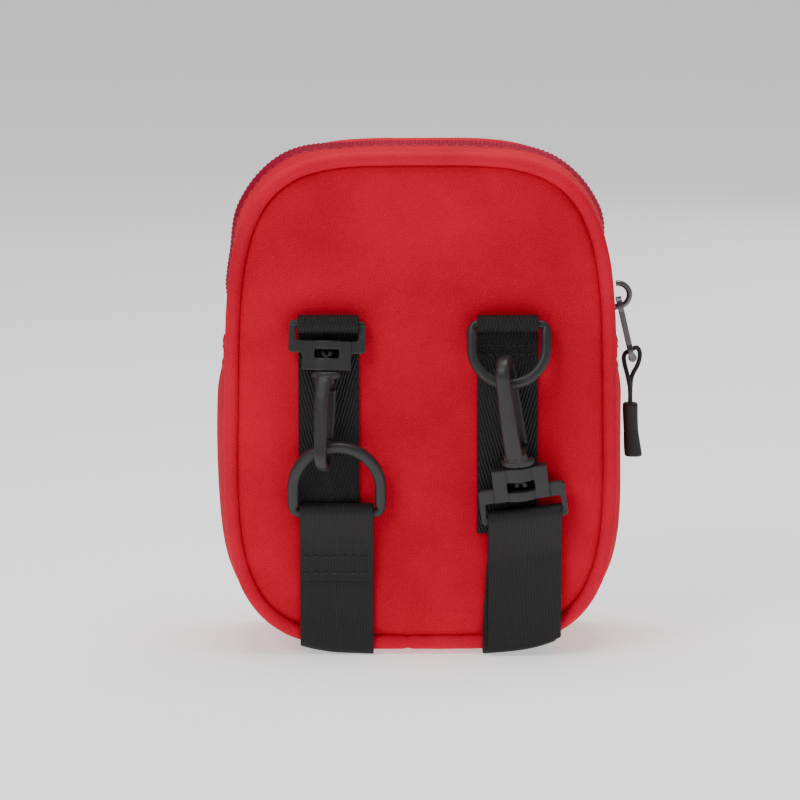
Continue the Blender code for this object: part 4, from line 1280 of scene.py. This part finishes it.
def bandage_roll(node):
    """A crepe bandage: one long strip wound in a spiral, with slightly uneven edges."""
    low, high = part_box(node)
    centre = np.array([(low[0] + high[0]) / 2, (low[1] + high[1]) / 2])
    outer = (high[0] - low[0]) / 2 - 0.5 * MM
    turns = 12
    angles = np.linspace(0, turns * 2 * np.pi, turns * 40)
    radii = 1.4 * MM + (outer - 1.4 * MM) * angles / angles[-1]
    rows = np.linspace(0, 1, 12)
    points = np.zeros((len(angles), len(rows), 3))
    sway = np.array([noise.noise(Vector((a * 0.35, low[0] * 90, 0))) for a in angles]) * 0.7 * MM
    for j, share in enumerate(rows):
        swell = radii + 0.25 * MM * np.sin(share * 23 + angles * 0.5)
        points[:, j, 0] = centre[0] + swell * np.cos(angles)
        points[:, j, 1] = centre[1] + swell * np.sin(angles)
        points[:, j, 2] = low[2] + 0.8 * MM + (high[2] - low[2] - 1.6 * MM) * share + sway
    mesh = grid_mesh(node + "_cloth", points, strip_uv(points))
    obj = add_piece(node + "_cloth", mesh, CREPE, "pouch", [node])
    thicken(obj, 0.85 * MM, 0)


def tape_roll():
    """A roll of zinc oxide tape on a card core, its windings showing as fine ridges at both ends."""
    low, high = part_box("tape_roll")
    centre = Vector(((low[0] + high[0]) / 2, (low[1] + high[1]) / 2, low[2]))
    outer, height = (high[0] - low[0]) / 2, high[2] - low[2]
    pieces = [("tape_winding", ZINC_TAPE, "zinc_tape", 9.3 * MM, outer)]
    pieces.append(("tape_core", CARD, "sachet_paper", 8.05 * MM, 9.3 * MM))
    for name, material, slot_name, inner, rim in pieces:
        wide = rim - inner
        edge = min(0.5 * MM, wide / 3)
        profile = [(inner, edge), (inner + edge, 0)]
        flat = [inner + edge + (wide - 2 * edge) * t for t in np.linspace(0, 1, 9)]
        profile += [(r, 0.12 * MM * (i % 2)) for i, r in enumerate(flat)]
        profile += [(rim - edge, 0), (rim, edge), (rim, height - edge), (rim - edge, height)]
        profile += [(r, height - 0.12 * MM * (i % 2)) for i, r in enumerate(reversed(flat))]
        profile += [(inner + edge, height), (inner, height - edge)]
        turn = 2 * np.pi * np.arange(72) / 72
        points = np.array([
            [(centre.x + r * math.cos(a), centre.y + r * math.sin(a), centre.z + z) for r, z in profile]
            for a in turn
        ])
        uv = [[(a * outer, z) for _, z in profile + profile[:1]] for a in np.append(turn, 2 * np.pi)]
        mesh = grid_mesh(name, points, uv, closed=(True, True))
        add_piece(name, mesh, material, "pouch", ["tape_roll"])


def pillow(name, low, high, thin, material, slot_name, replaced, seal=0.09, crease=0.0, layers=1, power=4.0):
    """A flat pack or packs, filled in the middle and pressed flat round the edge.

    thin is the axis across the pack: 0, 1 or 2. crease roughens its two faces.
    """
    low, high = np.array(low), np.array(high)
    wide_axes = [i for i in range(3) if i != thin]
    count = 44
    u = np.linspace(-1, 1, count)
    gu, gv = np.meshgrid(u, u, indexing="ij")
    rise = (1 - np.abs(gu) ** 10) * (1 - np.abs(gv) ** 10)
    inner = smooth_step(0, 3 * seal, 1 - np.maximum(np.abs(gu), np.abs(gv)) - seal * 0.6)
    thick = (high[thin] - low[thin]) / layers
    parts = []
    for layer in range(layers):
        middle = low[thin] + thick * (layer + 0.5)
        half = 0.5 * thick * (0.12 + 0.84 * inner * rise ** (1 / power))
        bm = bmesh.new()
        uv_layer = bm.loops.layers.uv.new("cloth")
        for sign in (-1, 1):
            points = np.zeros((count, count, 3))
            for axis, grid in zip(wide_axes, (gu, gv)):
                points[..., axis] = (low[axis] + high[axis]) / 2 + grid * (high - low)[axis] / 2
            rough = wrinkle(points + layer, 170, 3.0 + layer * 5).reshape(count, count)
            rough = rough * crease * (0.3 + 0.7 * inner)
            points[..., thin] = middle + sign * np.maximum(half - np.abs(rough) * 0.5 * thick, 0.04 * thick)
            verts = [bm.verts.new(p) for p in points.reshape(-1, 3)]
            for i in range(count - 1):
                for j in range(count - 1):
                    corners = [(i, j), (i + 1, j), (i + 1, j + 1), (i, j + 1)]
                    face = bm.faces.new([verts[a * count + b] for a, b in corners])
                    face.smooth = True
                    for loop, (a, b) in zip(face.loops, corners):
                        loop[uv_layer].uv = (points[a, b, wide_axes[0]], points[a, b, wide_axes[1]])
        border = [e for e in bm.edges if e.is_boundary]
        bmesh.ops.bridge_loops(bm, edges=border)
        bmesh.ops.recalc_face_normals(bm, faces=bm.faces)
        mesh = mesh_from(bm, name)
        label = name if layers == 1 else f"{name}_{layer + 1}"
        parts.append(add_piece(label, mesh, material, "pouch", replaced))
    return parts


def plasters():
    """A small card box with soft edges and a separate lid, and two plasters on its face."""
    low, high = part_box("plasters_pack")
    bm = bmesh.new()
    for a, b in ((low, (high[0], high[1], high[2] - 6 * MM)), ((low[0], low[1], high[2] - 5.9 * MM), high)):
        made = bmesh.ops.create_cube(bm, size=1)["verts"]
        size = Vector(b) - Vector(a)
        for v in made:
            v.co = (Vector(a) + Vector(b)) / 2 + Vector(v.co[i] * size[i] for i in range(3))
    bmesh.ops.bevel(bm, geom=list(bm.edges), offset=0.5 * MM, segments=3, affect="EDGES")
    mesh = mesh_from(bm, "plasters_box")
    add_piece("plasters_box", mesh, PLASTER_CARD, "pouch", ["plasters_pack"])
    middle = ((low[0] + high[0]) / 2, low[1] - 0.02 * MM, (low[2] + high[2]) / 2)
    for index, drop in enumerate((-9, 0)):
        tips = [(middle[0] + sign * 9 * MM, middle[2] + drop * MM) for sign in (-1, 1)]
        strip = even(np.array(tips), 30)
        path = np.column_stack([strip[:, 0], np.full(30, middle[1]), strip[:, 1]])
        sizes = np.ones((30, 2))
        ends = np.minimum(np.arange(30), 29 - np.arange(30)) / 3
        sizes[:, 0] = np.sqrt(np.clip(ends, 0.15, 1))
        profile = round_profile(2.4 * MM, 0.25 * MM, 4)
        name, replaced = f"plaster_{index}", ["plasters_pack"]
        sweep(name, path, profile, (0, 0, 1), CREPE, "pouch", replaced, False, sizes)


def foil_blanket():
    """A foil blanket folded into a small crinkled block of layers."""
    low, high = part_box("foil_blanket")
    pillow("foil_fold", low, high, 2, FOIL, "foil", ["foil_blanket"], 0.02, 0.5, 3, 6.0)


def pocket():
    """The inner pocket: a thin cloth front drawn in at its sides and base, with a bound top edge."""
    low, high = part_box("inner_pocket")
    across = np.linspace(0, 1, 60)
    up = np.linspace(0, 1, 40)
    x = low[0] + (high[0] - low[0]) * across
    depth = low[1] + (high[1] - low[1] - 0.8 * MM) * np.minimum(1, np.minimum(across, 1 - across) * 30) ** 0.5
    base = low[1] + (high[1] - low[1]) * 0.1
    points = np.zeros((40, 60, 3))
    for i, share in enumerate(up):
        y = base + (depth - base) * min(1, share * 22) ** 0.5
        points[i] = np.column_stack([x, y, np.full(60, low[2] + (high[2] - low[2]) * share)])
    points[..., 1] += wrinkle(points, 60, 4.0).reshape(40, 60) * 0.25 * MM
    mesh = grid_mesh("pocket_cloth", points, strip_uv(points))
    obj = add_piece("pocket_cloth", mesh, RED_LINING, "pouch", ["inner_pocket"])
    thicken(obj, 0.7 * MM, 0)
    profile = round_profile(1.5 * MM, 0.75 * MM, 4)
    sweep("pocket_binding", points[-1], profile, (0, 0, 1), RED_TAPE, "pouch")


def tweezers():
    """Two thin steel arms welded at the top, bowed apart, with tapered tips."""
    low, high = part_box("tweezers")
    x, middle = (low[0] + high[0]) / 2, (low[1] + high[1]) / 2
    reach = (high[1] - low[1]) / 2
    for sign, name in ((-1, "tweezer_arm_back"), (1, "tweezer_arm_front")):
        path = [(middle + sign * 0.35 * MM, high[2] - 0.3 * MM), (middle + sign * 0.5 * MM, high[2] - 7 * MM)]
        gap = reach - 0.8 * MM
        path += [(middle + sign * gap * 0.8, low[2] + 45 * MM), (middle + sign * gap, low[2] + 14 * MM)]
        path += [(middle + sign * (reach - 1.6 * MM), low[2] + 0.3 * MM)]
        line = smooth_curve([(x, y, z) for y, z in path], 60)
        share = np.linspace(0, 1, 60)
        sizes = np.column_stack([np.interp(share, (0, 0.1, 0.6, 1), (0.7, 1, 1, 0.35)), np.ones(60)])
        profile = round_profile(0.95 * MM, 0.35 * MM, 5)
        sweep(name, line, profile, (1, 0, 0), STEEL, "pouch", ["tweezers"], False, sizes)


def cross():
    """A white twill cross with a pressed edge, sewn on the front by a row of stitches."""
    low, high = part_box("cross_patch")
    centre = np.array([(low[0] + high[0]) / 2, (low[2] + high[2]) / 2])
    half = (high[0] - low[0]) / 2
    arm = half * 0.34
    thirds = [(-half, -arm), (-arm, arm), (arm, half)]
    lines = np.append(-half, np.concatenate([np.linspace(a, b, 13)[1:] for a, b in thirds]))
    bm = bmesh.new()
    layer = bm.loops.layers.uv.new("cloth")
    verts = {}
    for i in range(36):
        for j in range(36):
            if not (12 <= i < 24 or 12 <= j < 24):
                continue
            corners = [(i, j), (i + 1, j), (i + 1, j + 1), (i, j + 1)]
            for a, b in corners:
                if (a, b) not in verts:
                    verts[a, b] = bm.verts.new((centre[0] + lines[a], 0, centre[1] + lines[b]))
            face = bm.faces.new([verts[c] for c in corners])
            face.smooth = True
            for loop in face.loops:
                loop[layer].uv = (loop.vert.co.x, loop.vert.co.z)
    rim = {v for e in bm.edges if e.is_boundary for v in e.verts}
    for v in bm.verts:
        v.co.y = front_surface(v.co.x, v.co.z) + (0.5 if v in rim else 0.75) * MM
    bm.normal_update()
    if sum(f.normal.y for f in bm.faces) < 0:
        bmesh.ops.reverse_faces(bm, faces=bm.faces)
    mesh = mesh_from(bm, "cross_cloth")
    obj = add_piece("cross_cloth", mesh, WHITE_TWILL, "pouch", ["cross_patch"])
    thicken(obj, 0.55 * MM, -1)
    inset = 1.1 * MM
    corners = [(half, -arm), (half, arm), (arm, arm), (arm, half), (-arm, half), (-arm, arm)]
    corners += [(-half, arm), (-half, -arm), (-arm, -arm), (-arm, -half), (arm, -half), (arm, -arm)]
    ring = np.array([(x - math.copysign(inset, x), z - math.copysign(inset, z)) for x, z in corners]) + centre
    ring = even(np.vstack([ring, ring[:1]]), 240)
    path = np.array([(x, front_surface(x, z) + 0.74 * MM, z) for x, z in ring])
    length, gap, radius = 1.8 * MM, 0.7 * MM, 0.2 * MM
    stitches("cross_stitch", path, (0, 1, 0), WHITE_THREAD, "pouch", length, gap, radius)


def contents():
    pocket()
    bandage_roll("bandage_roll_left")
    bandage_roll("bandage_roll_middle")
    tape_roll()
    plasters()
    foil_blanket()
    tweezers()
    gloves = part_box("gloves_pack")
    pillow("gloves_bag", *gloves, 1, NITRILE, "nitrile_pack", ["gloves_pack"], 0.05, 0.55)
    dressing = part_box("dressing_pack")
    pillow("dressing_sachet", *dressing, 1, SACHET, "sachet_paper", ["dressing_pack"], 0.08, 0.2)
    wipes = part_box("wipes_pack")
    pillow("wipe_sachet", *wipes, 2, SACHET, "sachet_paper", ["wipes_pack"], 0.1, 0.25, 3)


def main():
    camera()
    studio()
    pull_cord()
    pouch_fabric()
    webbing()
    hardware()
    slider()
    pull_tab()
    cross()
    contents()


main()
